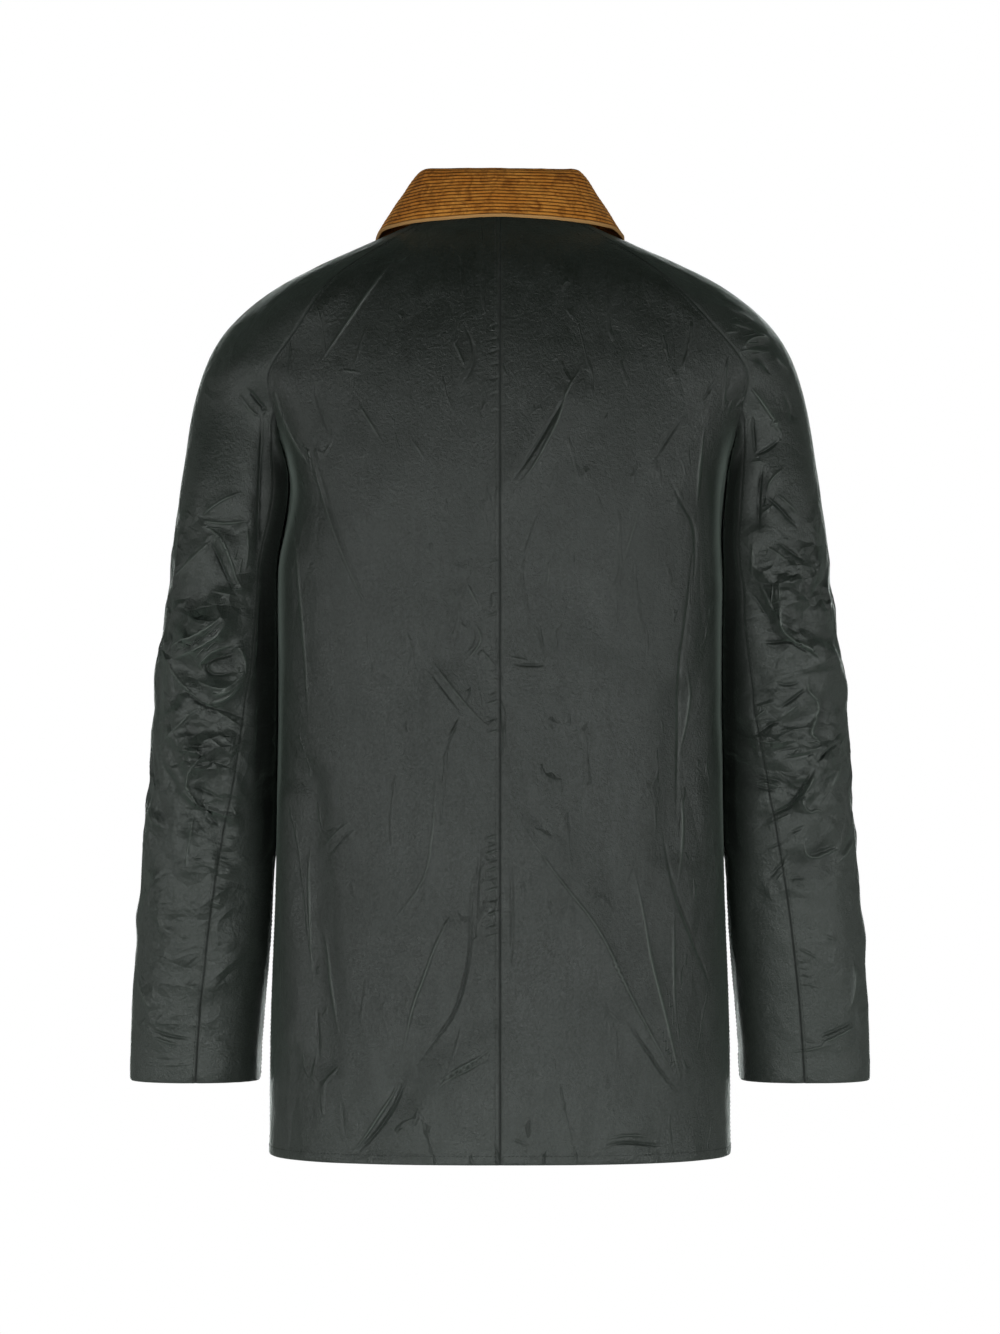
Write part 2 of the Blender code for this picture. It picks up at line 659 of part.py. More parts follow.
def collar_section(angle):
    """The collar's profile at an angle round the neck: up the stand, over the fold and down the fall."""
    side = 1 if angle >= 0 else -1
    flip = np.array([side, 1, 1])
    seam = np.array(neck_point(abs(angle)))
    fold = smooth_between(COLLAR_LINES, "angle", "fold", abs(angle))
    edge = smooth_between(COLLAR_LINES, "angle", "edge", abs(angle))
    up = np.array([0.0, 0.0, 1.0])
    out = unit((edge - fold) * [1, 1, 0])
    seam = seam + up * COLLAR_SEAT
    radius = COLLAR_FOLD_RADIUS
    centre = fold - up * radius
    inside = centre - out * radius
    down = unit(edge - centre)
    square = unit(up - down * (up @ down))
    outside = centre + square * radius
    middle_of_turn = centre + unit(square - out + up) * radius
    profile = [seam, seam + (inside - seam) * STAND_MIDDLE, inside, middle_of_turn, outside]
    profile += [outside + (edge - outside) * row.share + square * row.bulge for row in FALL_ROWS]
    return [point * flip for point in profile]


def make_collar(points, faces):
    """The folded collar, whose fall is held clear of the cloth under it."""
    last = COLLAR_LINES[-1].angle
    sections = [collar_section(angle) for angle in np.linspace(-last, last, COLLAR_COLUMNS + 1)]
    rows = len(sections[0])
    first_on_fall = rows - len(FALL_ROWS) - 1
    skin = BVHTree.FromPolygons([Vector(point) for point in points], faces)
    sheet = []
    for row in range(rows):
        for section in sections:
            point = Vector(section[row])
            if row >= first_on_fall:
                near, normal, _, _ = skin.find_nearest(point)
                height = (point - near).dot(normal)
                if height < COLLAR_LIFT:
                    point = near + normal * COLLAR_LIFT
            sheet.append(np.array(point))
    sheet = np.array(sheet)
    cells = grid_faces(rows, len(sections))
    normals = normals_of(sheet, cells)
    half = COLLAR_WALL / 2
    triangles = triangles_of(sheet, cells)
    walled_object("collar", sheet + normals * half, sheet - normals * half, triangles, CORDUROY)


def centre_front(points):
    """The numbers of the skin's points on the centre front, from the hem up."""
    on_line = [number for number, point in enumerate(points) if abs(point[0]) < ON_CENTRE and point[1] < 0]
    return sorted(on_line, key=lambda number: points[number][2])


def zip_path(points, faces):
    """The centre front's points, with the outward direction at each and the slope beside it."""
    normals = normals_of(points, faces)
    line = centre_front(points)
    beside = {}
    for face in faces:
        for first, second in zip(face, face[1:] + face[:1]):
            for near, far in ((first, second), (second, first)):
                if near in line and points[far][0] > ON_CENTRE:
                    beside[near] = far
    pairs = [(number, beside[number]) for number in line]
    return [(points[near], points[far], normals[near], normals[far]) for near, far in pairs]


def make_tapes(path):
    """The zip's two tapes, behind the edges of the fronts."""
    depth = CLOTH_WALL + SEAM_GAP
    for name, side in (("zip_tape_left", 1), ("zip_tape_right", -1)):
        front, back = [], []
        for centre, far, normal, far_normal in path:
            for across in (TAPE_EDGE, TAPE_EDGE + TAPE_WIDTH):
                share = across / far[0]
                place = centre + (far - centre) * share
                out = normal + (far_normal - normal) * share
                flip = np.array([side, 1, 1])
                front.append((place - out * depth) * flip)
                back.append((place - out * (depth + TAPE_WALL)) * flip)
        cells = grid_faces(len(path), 2)
        if side < 0:
            cells = [cell[::-1] for cell in cells]
        walled_object(name, np.array(front), np.array(back), triangles_of(np.array(front), cells), ZIP_TAPE)


def prism(outline, low, high, axis):
    """A closed solid of one outline, drawn in the plane across an axis, in metres."""
    body = bmesh.new()

    def point(first, second, level):
        values = [first, second]
        values.insert(axis, level)
        return Vector(values) * METRES

    base = [body.verts.new(point(first, second, low)) for first, second in outline]
    top = [body.verts.new(point(first, second, high)) for first, second in outline]
    body.faces.new(base)
    body.faces.new(top[::-1])
    for index in range(len(outline)):
        after = (index + 1) % len(outline)
        body.faces.new((base[index], top[index], top[after], base[after]))
    bmesh.ops.recalc_face_normals(body, faces=body.faces)
    mesh = bpy.data.meshes.new("prism")
    body.to_mesh(mesh)
    body.free()
    return mesh


def make_slider(frame):
    """The slider: two plates joined by a web between the tapes, with a bridge for the pull tab.

    Its own axes are x across, z up the zip and -y out from the jacket, with y 0 on the tapes' front face.
    """
    plate_back = -SEAM_GAP
    plate_front = plate_back - SLIDER_PLATE
    rear_front = TAPE_WALL + SEAM_GAP
    rear_back = rear_front + SLIDER_PLATE
    web, half = SLIDER_WEB_HALF_WIDTH, SLIDER_HALF_WIDTH
    right = [
        (half, plate_front),
        (half, plate_back),
        (web, plate_back),
        (web, rear_front),
        (half, rear_front),
        (half, rear_back),
    ]
    outline = right + [(-x, y) for x, y in reversed(right)]
    slider = new_object("zip_slider", prism(outline, -SLIDER_HALF_LENGTH, SLIDER_HALF_LENGTH, 2), BRASS)
    eye, wall = BRIDGE_EYE, BRIDGE_WALL
    foot = plate_front + SLIDER_PLATE / 2
    top = plate_front - eye - wall
    arch = [
        (foot, -eye / 2 - wall),
        (top + wall, -eye / 2 - wall),
        (top, -eye / 2),
        (top, eye / 2),
        (top + wall, eye / 2 + wall),
        (foot, eye / 2 + wall),
        (foot, eye / 2),
        (top + wall, eye / 2),
        (top + wall, -eye / 2),
        (foot, -eye / 2),
    ]
    bridge = bpy.data.objects.new("bridge", prism(arch, -BRIDGE_HALF_WIDTH, BRIDGE_HALF_WIDTH, 0))
    bpy.context.scene.collection.objects.link(bridge)
    bridge.parent = slider
    bridge.hide_render = True
    bridge.display_type = "WIRE"
    join = slider.modifiers.new("bridge", "BOOLEAN")
    join.operation = "UNION"
    join.object = bridge
    slider.matrix_world = frame
    return slider


def make_pull_tab(frame):
    """The pull tab, hanging by the bar at its top from the slider's bridge. Its origin is on that bar."""
    bar, half, eye = TAB_BAR / 2, TAB_HALF_WIDTH, TAB_EYE_HALF_WIDTH
    right = [
        (half - TAB_CORNER, bar),
        (half, bar - TAB_CORNER),
        (half, TAB_TIP_CORNER - TAB_LENGTH),
        (half - TAB_TIP_CORNER, -TAB_LENGTH),
    ]
    outline = right + [(-x, z) for x, z in reversed(right)]
    tab = new_object("zip_pull_tab", prism(outline, -bar, bar, 1), BRASS)
    hole = [(eye, -bar), (eye, -TAB_EYE_LENGTH), (-eye, -TAB_EYE_LENGTH), (-eye, -bar)]
    cutter = bpy.data.objects.new("tab_eye", prism(hole, -2 * bar, 2 * bar, 1))
    bpy.context.scene.collection.objects.link(cutter)
    cutter.parent = tab
    cutter.hide_render = True
    cutter.display_type = "WIRE"
    cut = tab.modifiers.new("eye", "BOOLEAN")
    cut.operation = "DIFFERENCE"
    cut.object = cutter
    axis_out = SEAM_GAP + SLIDER_PLATE + BRIDGE_EYE / 2
    tab.matrix_world = frame @ Matrix.Translation(Vector((0, -axis_out, 0)) * METRES)
    return tab


def zip_frame(path):
    """Where the slider sits: on the tapes' front face, in the middle of the facet nearest its place."""
    top = path[-1][0][2]
    pairs = list(zip(path, path[1:]))
    wanted = top - SLIDER_BELOW_NECK
    below, above = min(pairs, key=lambda pair: abs(wanted - (pair[0][0][2] + pair[1][0][2]) / 2))
    depth = CLOTH_WALL + SEAM_GAP
    low, high = (row[0] - row[2] * depth for row in (below, above))
    middle = (low + high) / 2
    along = high - low
    lean = math.atan2(along[1], along[2])
    return Matrix.Translation(placed(middle)) @ Matrix.Rotation(-lean, 4, "X")


def main():
    clear_scene()
    points, faces, pieces = fitted_skin(build_cage(), SKIN_LEVELS)
    points = fold_skin(pull_armhole(points), faces, pieces)
    make_panels(points, faces, pieces)
    make_collar(points, faces)
    path = zip_path(points, faces)
    make_tapes(path)
    frame = zip_frame(path)
    make_slider(frame)
    make_pull_tab(frame)


main()
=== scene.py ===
"""The looks of a waxed cotton jacket with a corduroy collar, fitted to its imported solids.

Metres, +Z up, back at +Y. Every cloth piece is a thin shell on the outer face of its solid. One skin is made
from the same sizes as the solids, but finer. It is creased, seamed and hemmed, and cut into the pieces.
"""

import math
from collections import namedtuple

import bmesh
import bpy
import numpy as np
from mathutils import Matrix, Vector, noise
from mathutils.bvhtree import BVHTree
from mathutils.kdtree import KDTree


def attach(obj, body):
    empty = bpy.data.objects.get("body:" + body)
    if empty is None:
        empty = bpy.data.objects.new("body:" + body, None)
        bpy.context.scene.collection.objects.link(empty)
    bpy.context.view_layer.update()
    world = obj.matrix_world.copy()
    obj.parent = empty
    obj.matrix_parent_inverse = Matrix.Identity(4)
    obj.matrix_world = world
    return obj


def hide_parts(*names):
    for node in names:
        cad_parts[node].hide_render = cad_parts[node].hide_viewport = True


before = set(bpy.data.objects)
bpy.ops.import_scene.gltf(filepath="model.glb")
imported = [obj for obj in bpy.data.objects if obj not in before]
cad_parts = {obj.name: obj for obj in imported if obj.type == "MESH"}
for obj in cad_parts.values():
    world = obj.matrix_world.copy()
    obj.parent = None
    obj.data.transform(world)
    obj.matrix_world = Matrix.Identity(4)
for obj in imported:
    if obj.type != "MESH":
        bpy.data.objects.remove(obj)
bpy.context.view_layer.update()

# Sizes are in millimetres, and heights are above the hem.
METRES = 0.001
HELD_HEIGHT = 757.0  # base of the neck at the shoulder, the part's origin

CLOTH_WALL = 2.0  # of the solids
CLOTH_THICKNESS = 1.1  # of the cloth that shows
SEAM_GAP = 0.3  # between two solids that are sewn together
SEAM_OVERLAP = 0.06  # of two pieces of cloth that shows, along a seam
ZIP_REVEAL = 12.0  # width of zip that shows between the fronts

# Cells of the skin's control mesh, each of which becomes 2 by 2 facets of the solids.
BODY_ROWS = 11
CENTRE_COLUMNS = 5  # from a centre line to the top of the armhole
ARMHOLE_STEPS = 3  # from there to the underarm
OVERARM_COLUMNS = 6
ARMHOLE_SHARE = 0.30  # share of a quarter of the body, from centre to side, that lies under the armhole
SOLID_LEVELS = 1  # of the skin that the solids are cut from
FINE_LEVELS = 4  # of the back and the sleeves
FRONT_LEVELS = 3
FIT_ROUNDS = 5
ARC_SAMPLES = 60
ON_CENTRE = 0.01  # a point this near the centre plane is on it

# The body below the armholes: half width, and depth behind and before its middle.
BodySection = namedtuple("BodySection", "height half_width back front squareness")
BODY_SECTIONS = [
    BodySection(0, 188.5, 150, 148, 2.6),
    BodySection(110, 187.5, 150, 148, 2.6),
    BodySection(220, 183.5, 149, 147, 2.8),
    BodySection(340, 182.0, 147, 146, 3.0),
    BodySection(450, 182.5, 146, 149, 3.4),
    BodySection(556, 182.0, 146, 150, 3.9),
]

# The lower armhole, from the underarm up to where the sleeve's back seam starts.
ArmholePoint = namedtuple("ArmholePoint", "back front")
LOWER_ARMHOLE = [
    ArmholePoint((186, 0, 560), (186, 0, 560)),
    ArmholePoint((187, 35, 564), (186, -37, 564)),
    ArmholePoint((190, 65, 577), (186, -69, 577)),
]

# The raglan seams from there to the neck, with the centre lines of the back and front at each row. An arc
# angle is how far round each row turns between the centre line and the seam.
RaglanRow = namedtuple(
    "RaglanRow", "back front back_centre front_centre back_arc front_arc squareness"
)
RAGLAN_ROWS = [
    RaglanRow((195, 88, 604), (186, -96, 604), (142, 598), (-149, 590), 71, 70, 2.8),
    RaglanRow((197, 100, 640), (176, -107, 640), (135, 640), (-143, 622), 61, 60, 2.5),
    RaglanRow((168, 106, 676), (152, -114, 671), (124, 678), (-134, 650), 52, 52, 2.2),
    RaglanRow((136, 98, 709), (122, -106, 696), (111, 711), (-123, 674), 48, 46, 2.1),
    RaglanRow((96, 72, 738), (92, -87, 713), (91, 740), (-112, 692), 49, 47, 2.0),
]

# The top line of the sleeve from the armhole row to the last row before the neck.
OverarmRow = namedtuple("OverarmRow", "apex back_arc front_arc squareness")
OVERARM_ROWS = [
    OverarmRow((253, -2, 600), 84, 82, 2.3),
    OverarmRow((242, -2, 640), 79, 77, 2.2),
    OverarmRow((221, -3, 676), 72, 70, 2.1),
    OverarmRow((180, -5, 709), 66, 64, 2.0),
    OverarmRow((127, -8, 735), 56, 56, 2.0),
]

# The neck seam, an oval that slopes down to the front. Angles are from the centre back.
NECK_CENTRE_Y = -12.0
NECK_HALF_WIDTH = 74.0
NECK_BACK = 72.0
NECK_FRONT = 88.0
NECK_RISE_BACK = 10.0
NECK_DROP_FRONT = 52.0
NECK_BACK_SEAM_ANGLE = 50.0
NECK_FRONT_SEAM_ANGLE = 125.0

# The sleeve below the armhole. The seam angle is from the side by the body, round the back, to the back
# seam, the underarm drop is how much lower than the rest a ring is by the body, and the clearance is
# how far it stays from the body there.
SleeveRing = namedtuple(
    "SleeveRing",
    "height centre_x centre_y half_width half_depth squareness seam_angle underarm_drop clearance",
)
SLEEVE_RINGS = [
    SleeveRing(552, 217.0, -4.5, 43.0, 92.5, 2.6, 64, 28, 7.0),
    SleeveRing(506, 219.5, -4.8, 47.0, 90.8, 2.6, 63, 22, 5.5),
    SleeveRing(460, 222.5, -5, 50.0, 88, 2.6, 63, 14, 4.5),
    SleeveRing(412, 226.0, -6.5, 52.0, 84.5, 2.6, 66, 6, 3.8),
    SleeveRing(364, 229.5, -8, 54.0, 80, 2.5, 70, 0, 3.6),
    SleeveRing(316, 232.5, -11, 55.5, 76, 2.5, 75, 0, 3.6),
    SleeveRing(268, 236.0, -15, 56.0, 72, 2.4, 80, 0, 3.6),
    SleeveRing(217, 240.0, -19, 55.5, 68, 2.3, 84, 0, 3.6),
    SleeveRing(166, 244.5, -24, 55.0, 64, 2.3, 86, 0, 3.6),
    SleeveRing(112, 249.0, -29, 54.5, 60, 2.3, 87, 0, 3.6),
    SleeveRing(57, 251.5, -34, 53.0, 56, 2.3, 88, 0, 3.6),
]

# The largest folds, by where they are and the side they are seen from. Each row gives the two places that the
# fold runs between, as across and height, then its half width and its depth. It is raised where its depth is
# positive and sunk where it is negative. Across is x from behind or before, and y from the left or the right.
Fold = namedtuple("Fold", "on seen_from start end half_width depth")
FOLD_ROWS = [
    ("body", "back", [
        ((-36, 258), (-144, 76), 34, 2.8),
        ((-146, 368), (-140, 254), 28, -5),
        ((64, 100), (78, 60), 26, -3.4),
        ((78, 60), (112, 10), 26, -3),
        ((4, 98), (46, 70), 24, 3),
        ((153, 306), (141, 84), 24, -5),
        ((170, 290), (166, 98), 20, 4),
        ((-8, 546), (-60, 612), 30, 1.8),
        ((176, 620), (148, 552), 26, 4),
        ((-60, 452), (-104, 404), 34, -1.4),
        ((40, 372), (52, 268), 34, 3),
    ]),
    ("body", "front", [
        ((88, 392), (104, 176), 32, 5),
        ((-70, 342), (-96, 128), 32, -5),
        ((124, 556), (70, 466), 30, -4),
        ((-118, 540), (-66, 452), 30, -4),
        ((-138, 300), (-128, 90), 26, 4),
        ((140, 250), (126, 60), 26, -4),
    ]),
    ("sleeve", "back", [
        ((242, 513), (214, 508), 22, -4),
        ((222, 438), (260, 414), 24, 5),
        ((226, 412), (244, 394), 20, -4),
        ((206, 398), (232, 371), 22, 4),
        ((240, 328), (252, 301), 22, 4),
        ((254, 300), (229, 268), 22, -4),
        ((210, 174), (236, 142), 22, 4),
        ((-200, 497), (-206, 482), 24, 4),
        ((-202, 457), (-222, 433), 22, -4),
        ((-226, 430), (-258, 404), 22, 5),
        ((-258, 404), (-278, 386), 22, 5),
        ((-199, 360), (-248, 380), 22, 4),
        ((-194, 315), (-231, 299), 22, -4),
        ((-215, 270), (-240, 286), 22, -4),
        ((-248, 232), (-264, 245), 20, -3),
    ]),
    ("sleeve", "front", [
        ((222, 452), (262, 424), 24, 5),
        ((210, 384), (246, 362), 24, -4),
        ((228, 290), (256, 262), 22, -4),
        ((212, 190), (244, 170), 22, 4),
        ((-222, 440), (-260, 408), 24, 5),
        ((-208, 358), (-246, 334), 24, -4),
        ((-228, 268), (-254, 244), 22, -4),
        ((-214, 168), (-246, 150), 22, 4),
    ]),
    ("sleeve", "left", [
        ((34, 470), (-26, 448), 24, -2),
        ((30, 402), (-34, 372), 24, 2),
        ((16, 300), (-42, 322), 24, -2),
        ((-2, 196), (-54, 176), 22, 2),
    ]),
    ("sleeve", "right", [
        ((30, 456), (-30, 484), 24, -2),
        ((26, 376), (-36, 404), 24, 2),
        ((12, 286), (-44, 262), 24, -2),
        ((-4, 172), (-56, 192), 22, 2),
    ]),
]
FOLDS = [Fold(on, seen_from, *row) for on, seen_from, rows in FOLD_ROWS for row in rows]
# How each side is seen: the axis that runs across, the axis that faces the viewer, and which way it faces.
Side = namedtuple("Side", "across facing sign")
SIDES = {"back": Side(0, 1, 1), "front": Side(0, 1, -1), "left": Side(1, 0, 1), "right": Side(1, 0, -1)}
FACING_SHARPNESS = 2.5  # how fast a fold takes hold where the skin turns to face the viewer

# Creases of the cloth as seen from behind, by what they are on. Each row gives a crease's width and depth, and
# then its path, as across and height in turn. It is raised where its depth is positive and otherwise sunk.
Crease = namedtuple("Crease", "on path width depth")
CREASE_ROWS = [
    ("sleeve", [
        (11, -6, 192, 610, 194, 520, 193, 420, 194, 330, 198, 250),
    ]),
    ("body", [
        (4, 1.3, 151, 264, 154, 234, 153, 200, 151, 151, 148, 135),
        (5, -1.6, 147, 126, 145, 77),
        (4, 1.2, 143, 194, 138, 169, 135, 141, 131, 114, 128, 95),
        (9, 2.2, 36, 206, 52, 175, 61, 148, 70, 126, 79, 83),
        (6, 2.2, 80, 70, 85, 56, 95, 41, 107, 22, 119, 8),
        (7, -2.6, 73, 75, 82, 50, 98, 25, 117, 6),
        (12, -2.2, 18, 243, 23, 218, 23, 178, 27, 151, 36, 120, 55, 96, 68, 77),
        (3, 1.0, 2, 97, 18, 85, 36, 76, 58, 60),
        (3, -1.0, 4, 93, 20, 81, 39, 71, 55, 58),
        (3, 1.0, 5, 88, 24, 77, 43, 68, 55, 56),
        (5, 1.4, -10, 283, -32, 249, -53, 221, -80, 188, -105, 133, -130, 86, -148, 56),
        (5, 1.3, -71, 200, -105, 133, -130, 86, -147, 57),
        (8, -1.3, -95, 125, -117, 91, -135, 64, -151, 45),
        (3, 0.7, -83, 126, -98, 111),
        (9, 2.2, -105, 243, -115, 200, -120, 163, -130, 126, -142, 77, -148, 53),
        (3, 1.2, -140, 207, -139, 175, -139, 138, -142, 108),
        (9, -2.6, -130, 268, -136, 234, -143, 209, -155, 178, -166, 151, -175, 123),
        (12, 1.8, -145, 304, -147, 267, -143, 221),
        (4, 1.2, -173, 206, -174, 163),
        (5, -1.5, -80, 14, -99, 18, -120, 15, -136, 14),
        (4, 1.0, -82, 20, -101, 24, -124, 21),
        (4, -1.3, -7, 22, -25, 15),
        (4, -1.0, 127, 53, 124, 19),
        (4, 0.9, 143, 249, 132, 264, 118, 275),
        (4, -0.9, 139, 244, 127, 259, 115, 270),
        (10, 1.0, 50, 314, 55, 246, 63, 221, 91, 188),
        (4, 1.5, -68, 641, -53, 618, -48, 598, -40, 581, -24, 552, -7, 535),
        (5, -1.9, -58, 623, -40, 592, -24, 565, -7, 541),
        (7, 1.2, 80, 731, 103, 702, 123, 672, 147, 638),
        (4, -0.9, 150, 632, 147, 612, 136, 581),
        (3, 0.8, 127, 635, 110, 632),
        (4, 0.9, 115, 610, 93, 575),
        (3, 0.8, 70, 578, 60, 563),
        (5, -1.0, 30, 675, 20, 652, 22, 634, 32, 621),
        (4, 0.8, 38, 660, 27, 635),
        (4, 1.0, 168, 538, 162, 472, 156, 405, 153, 339),
        (4, 0.8, 156, 581, 140, 525, 123, 478, 100, 432, 98, 415),
        (4, -0.7, 153, 583, 137, 526, 120, 480, 97, 434),
        (4, 0.9, 57, 405, 24, 362, 4, 345),
        (4, -0.9, 60, 399, 27, 356),
        (4, -1.5, -133, 552, -147, 525, -156, 512, -157, 485, -154, 450),
        (5, -2.0, -156, 509, -150, 438, -143, 395, -143, 339, -141, 254),
        (7, 1.6, -165, 595, -159, 558, -158, 522),
        (8, -1.5, -174, 629, -162, 610),
        (7, -0.9, -150, 604, -120, 558),
        (6, 0.8, -113, 529, -96, 472),
        (3, 0.9, -40, 485, -37, 452),
        (4, -1.2, -7, 400, -24, 398, -40, 399),
        (3, 0.8, -7, 405, -24, 402),
        (6, 1.5, -150, 398, -153, 372, -143, 322),
        (4, 1.3, 27, 465, 16, 442),
        (4, 1.5, 20, 432, 13, 418, 27, 402),
        (4, 1.2, 16, 412, 4, 398),
        (4, -1.2, 24, 436, 19, 417, 30, 407),
        (2.6, -0.8, 0, 672, 10, 668),
        (2.6, -0.8, 0, 661, 9, 658),
        (2.6, -0.8, 0, 651, 11, 647),
        (2.6, -0.7, 0, 640, 8, 638),
        (2.6, -0.8, 0, 629, 10, 626),
        (2.6, -0.7, 0, 616, 8, 614),
        (2.6, -0.6, 0, 602, 8, 600),
        (2.6, 0.9, 0, 482, 10, 479),
        (2.6, -1.0, 0, 458, 8, 456),
        (2.6, 0.9, 0, 441, 12, 437),
        (2.6, -0.9, 0, 379, 10, 375),
        (2.6, 1.0, 0, 371, 12, 367),
        (2.6, -1.1, 0, 358, 13, 353),
        (2.6, 1.0, 0, 347, 11, 344),
        (2.6, -0.8, 0, 326, 8, 323),
        (2.6, 1.3, 0, 264, 12, 260),
        (2.6, -1.4, 0, 258, 12, 254),
        (2.6, 1.3, 0, 252, 14, 247),
        (2.6, -1.3, 0, 245, 12, 241),
        (2.6, 1.4, 0, 238, 13, 234),
        (2.6, -1.2, 0, 231, 12, 227),
        (2.6, 1.3, 0, 222, 12, 218),
        (2.6, -1.1, 0, 213, 11, 210),
        (2.6, 1.2, 0, 203, 12, 199),
        (2.6, -1.2, 0, 194, 14, 189),
        (2.6, 1.1, 0, 185, 13, 181),
        (2.6, 0.8, 0, 171, 8, 168),
        (2.6, -0.7, 0, 151, 8, 148),
        (6, -1.6, 15, 260, 17, 235, 19, 207, 17, 183),
        (6, -1.4, -8, 255, -9, 227, -10, 191, -8, 151),
        (9, 2.2, 183, 622, 173, 590, 151, 555),
        (8, -1.6, 182, 626, 185, 594, 186, 554),
    ]),
    ("sleeve", [
        (3, 1.4, 240, 370, 237, 367, 232, 364),
        (4, -2.0, 257, 381, 243, 367),
        (4, -2.2, 234, 367, 211, 357, 203, 354),
        (4, 2.0, 234, 372, 221, 378, 211, 383, 204, 394),
        (3, 1.0, 237, 367, 252, 359, 263, 346, 281, 329),
        (6, -1.8, 226, 336, 216, 333),
        (3, 1.0, 261, 329, 239, 329),
        (3, -0.8, 260, 332, 240, 332),
        (4, 2.0, 242, 325, 252, 312, 253, 299, 247, 290, 245, 282),
        (4, -2.2, 252, 302, 243, 298, 235, 295, 224, 290),
        (4, -1.8, 243, 290, 235, 276, 226, 266),
        (4, 1.6, 219, 286, 213, 277),
        (3, 1.2, 224, 259, 219, 256, 211, 259),
        (4, 1.6, 229, 242, 221, 240, 211, 242),
        (4, -1.4, 229, 248, 219, 246, 209, 248),
        (5, 1.2, 248, 279, 252, 256, 255, 232),
        (3, 1.6, 237, 207, 224, 203),
        (3, -1.4, 238, 203, 226, 199),
        (3, 1.4, 209, 196, 196, 203),
        (3, -1.3, 208, 194, 195, 191),
        (3, 1.2, 204, 186, 203, 177),
        (4, 1.3, 196, 168, 219, 157, 235, 142),
        (4, -1.1, 193, 162, 216, 151, 232, 136),
        (3, 1.0, 261, 178, 253, 177),
        (3, 0.9, 255, 136, 243, 138),
        (4, 1.3, 297, 142, 291, 126, 284, 116),
        (4, -1.6, 287, 102, 268, 95, 250, 94),
        (4, 1.5, 284, 95, 268, 90, 261, 89),
        (3, -1.0, 234, 94, 214, 89, 198, 90),
        (3, 1.0, 232, 89, 213, 84, 198, 86),
        (3, -0.8, 284, 77, 260, 76),
        (3, 0.8, 276, 72, 252, 73),
        (4, 3, -226, 451, -226, 433, -229, 425, -238, 418, -246, 414, -254, 408, -259, 403),
        (6, 1.6, -225, 469, -226, 446),
        (8, 2.2, -204, 497, -203, 482, -203, 468),
        (5, 1.8, -206, 469, -215, 455, -223, 437),
        (4.5, -2.6, -199, 461, -208, 451, -213, 443, -219, 432),
        (6, -2.6, -213, 536, -226, 525, -235, 515, -242, 509),
        (6, 1.4, -222, 538, -233, 528, -241, 520),
        (5, 1.6, -210, 520, -217, 525, -222, 529),
        (6.5, -2.4, -222, 499, -235, 490, -246, 482),
        (6, 1.6, -213, 495, -223, 489, -233, 482),
        (3.5, -1.5, -218, 473, -230, 473),
        (3.5, -1.8, -232, 470, -242, 473),
        (5, -2.4, -209, 418, -220, 416, -233, 418, -244, 412, -255, 405),
        (4, -1.2, -244, 424, -236, 427, -230, 432),
        (3, -1.2, -225, 404, -221, 395),
        (3.4, 2.2, -249, 393, -248, 378, -254, 372, -256, 364, -254, 355, -251, 346, -252, 342, -258, 338,
         -261, 328),
        (5, -2.6, -248, 380, -240, 373, -232, 367, -225, 364),
        (5, -1.8, -222, 385, -232, 382, -242, 385),
        (5, 1.4, -228, 357, -236, 364, -243, 368),
        (3.4, -2, -197, 363, -209, 368, -222, 372),
        (3, 1.8, -204, 363, -212, 366, -222, 369),
        (7, 2.6, -204, 351, -209, 359, -217, 364),
        (7, -3.4, -204, 339, -215, 348, -227, 354),
        (3.6, 2, -205, 338, -216, 336, -227, 337),
        (6, 1.8, -205, 324, -209, 332),
        (4.5, -1.2, -217, 328, -233, 331, -245, 334),
        (3.6, -1.8, -230, 322, -244, 325, -256, 328),
        (3.4, 1.2, -247, 329, -256, 331, -262, 334),
        (4.4, -2.8, -256, 320, -267, 330, -277, 337),
        (3.8, -2.8, -192, 312, -202, 310, -213, 307, -225, 305, -231, 302),
        (3, 1.8, -196, 307, -208, 304, -220, 302, -228, 299),
        (3.6, -2.4, -192, 306, -204, 301, -217, 298, -225, 296),
        (4.4, -3.2, -215, 272, -224, 279, -234, 283, -240, 290, -246, 299, -251, 307, -256, 317),
        (4.4, 1.6, -215, 268, -226, 273, -236, 278),
        (3.4, 2, -244, 290, -251, 300, -256, 313),
        (3, 1.5, -245, 294, -246, 286, -251, 278, -257, 282, -264, 277),
        (3.2, 1.4, -265, 293, -273, 307, -276, 318),
        (3.4, -1.2, -261, 286, -269, 299, -272, 308),
        (3, 1.5, -247, 258, -247, 246, -255, 241, -265, 245, -277, 251),
        (3, -1.6, -248, 246, -256, 244, -268, 249, -275, 252),
        (3.2, 1.6, -275, 237, -283, 247, -288, 256),
        (3.2, -1.5, -275, 242, -282, 251, -287, 259),
        (5, -1.8, -235, 262, -247, 268),
        (5, -1.4, -235, 225, -249, 226),
        (3.2, -1.4, -199, 246, -212, 249, -224, 252, -233, 258),
        (3.2, 1, -199, 243, -213, 245, -226, 248),
        (3.2, -1.6, -217, 224, -226, 234, -234, 244),
        (3.2, 1, -222, 220, -230, 230, -235, 238),
        (4, -1.2, -190, 255, -200, 266, -209, 277),
        (4, 1, -193, 251, -204, 262, -213, 271),
        (3, 1.3, -243, 168, -251, 165, -258, 160),
        (3, -1, -243, 155, -252, 156),
        (3, 1.1, -244, 139, -252, 139, -259, 136),
        (3, -1, -243, 145, -256, 143),
        (3, 0.9, -262, 180, -274, 174),
        (4.5, 1.8, -262, 90, -277, 97, -291, 104),
        (3.6, -1.5, -259, 95, -275, 101, -290, 108),
        (4, 1.2, -238, 83, -254, 85, -270, 90),
        (3, -0.9, -244, 93, -259, 91),
        (3, 1.1, -289, 157, -290, 138, -286, 116),
        (4, -0.8, -209, 108, -220, 98),
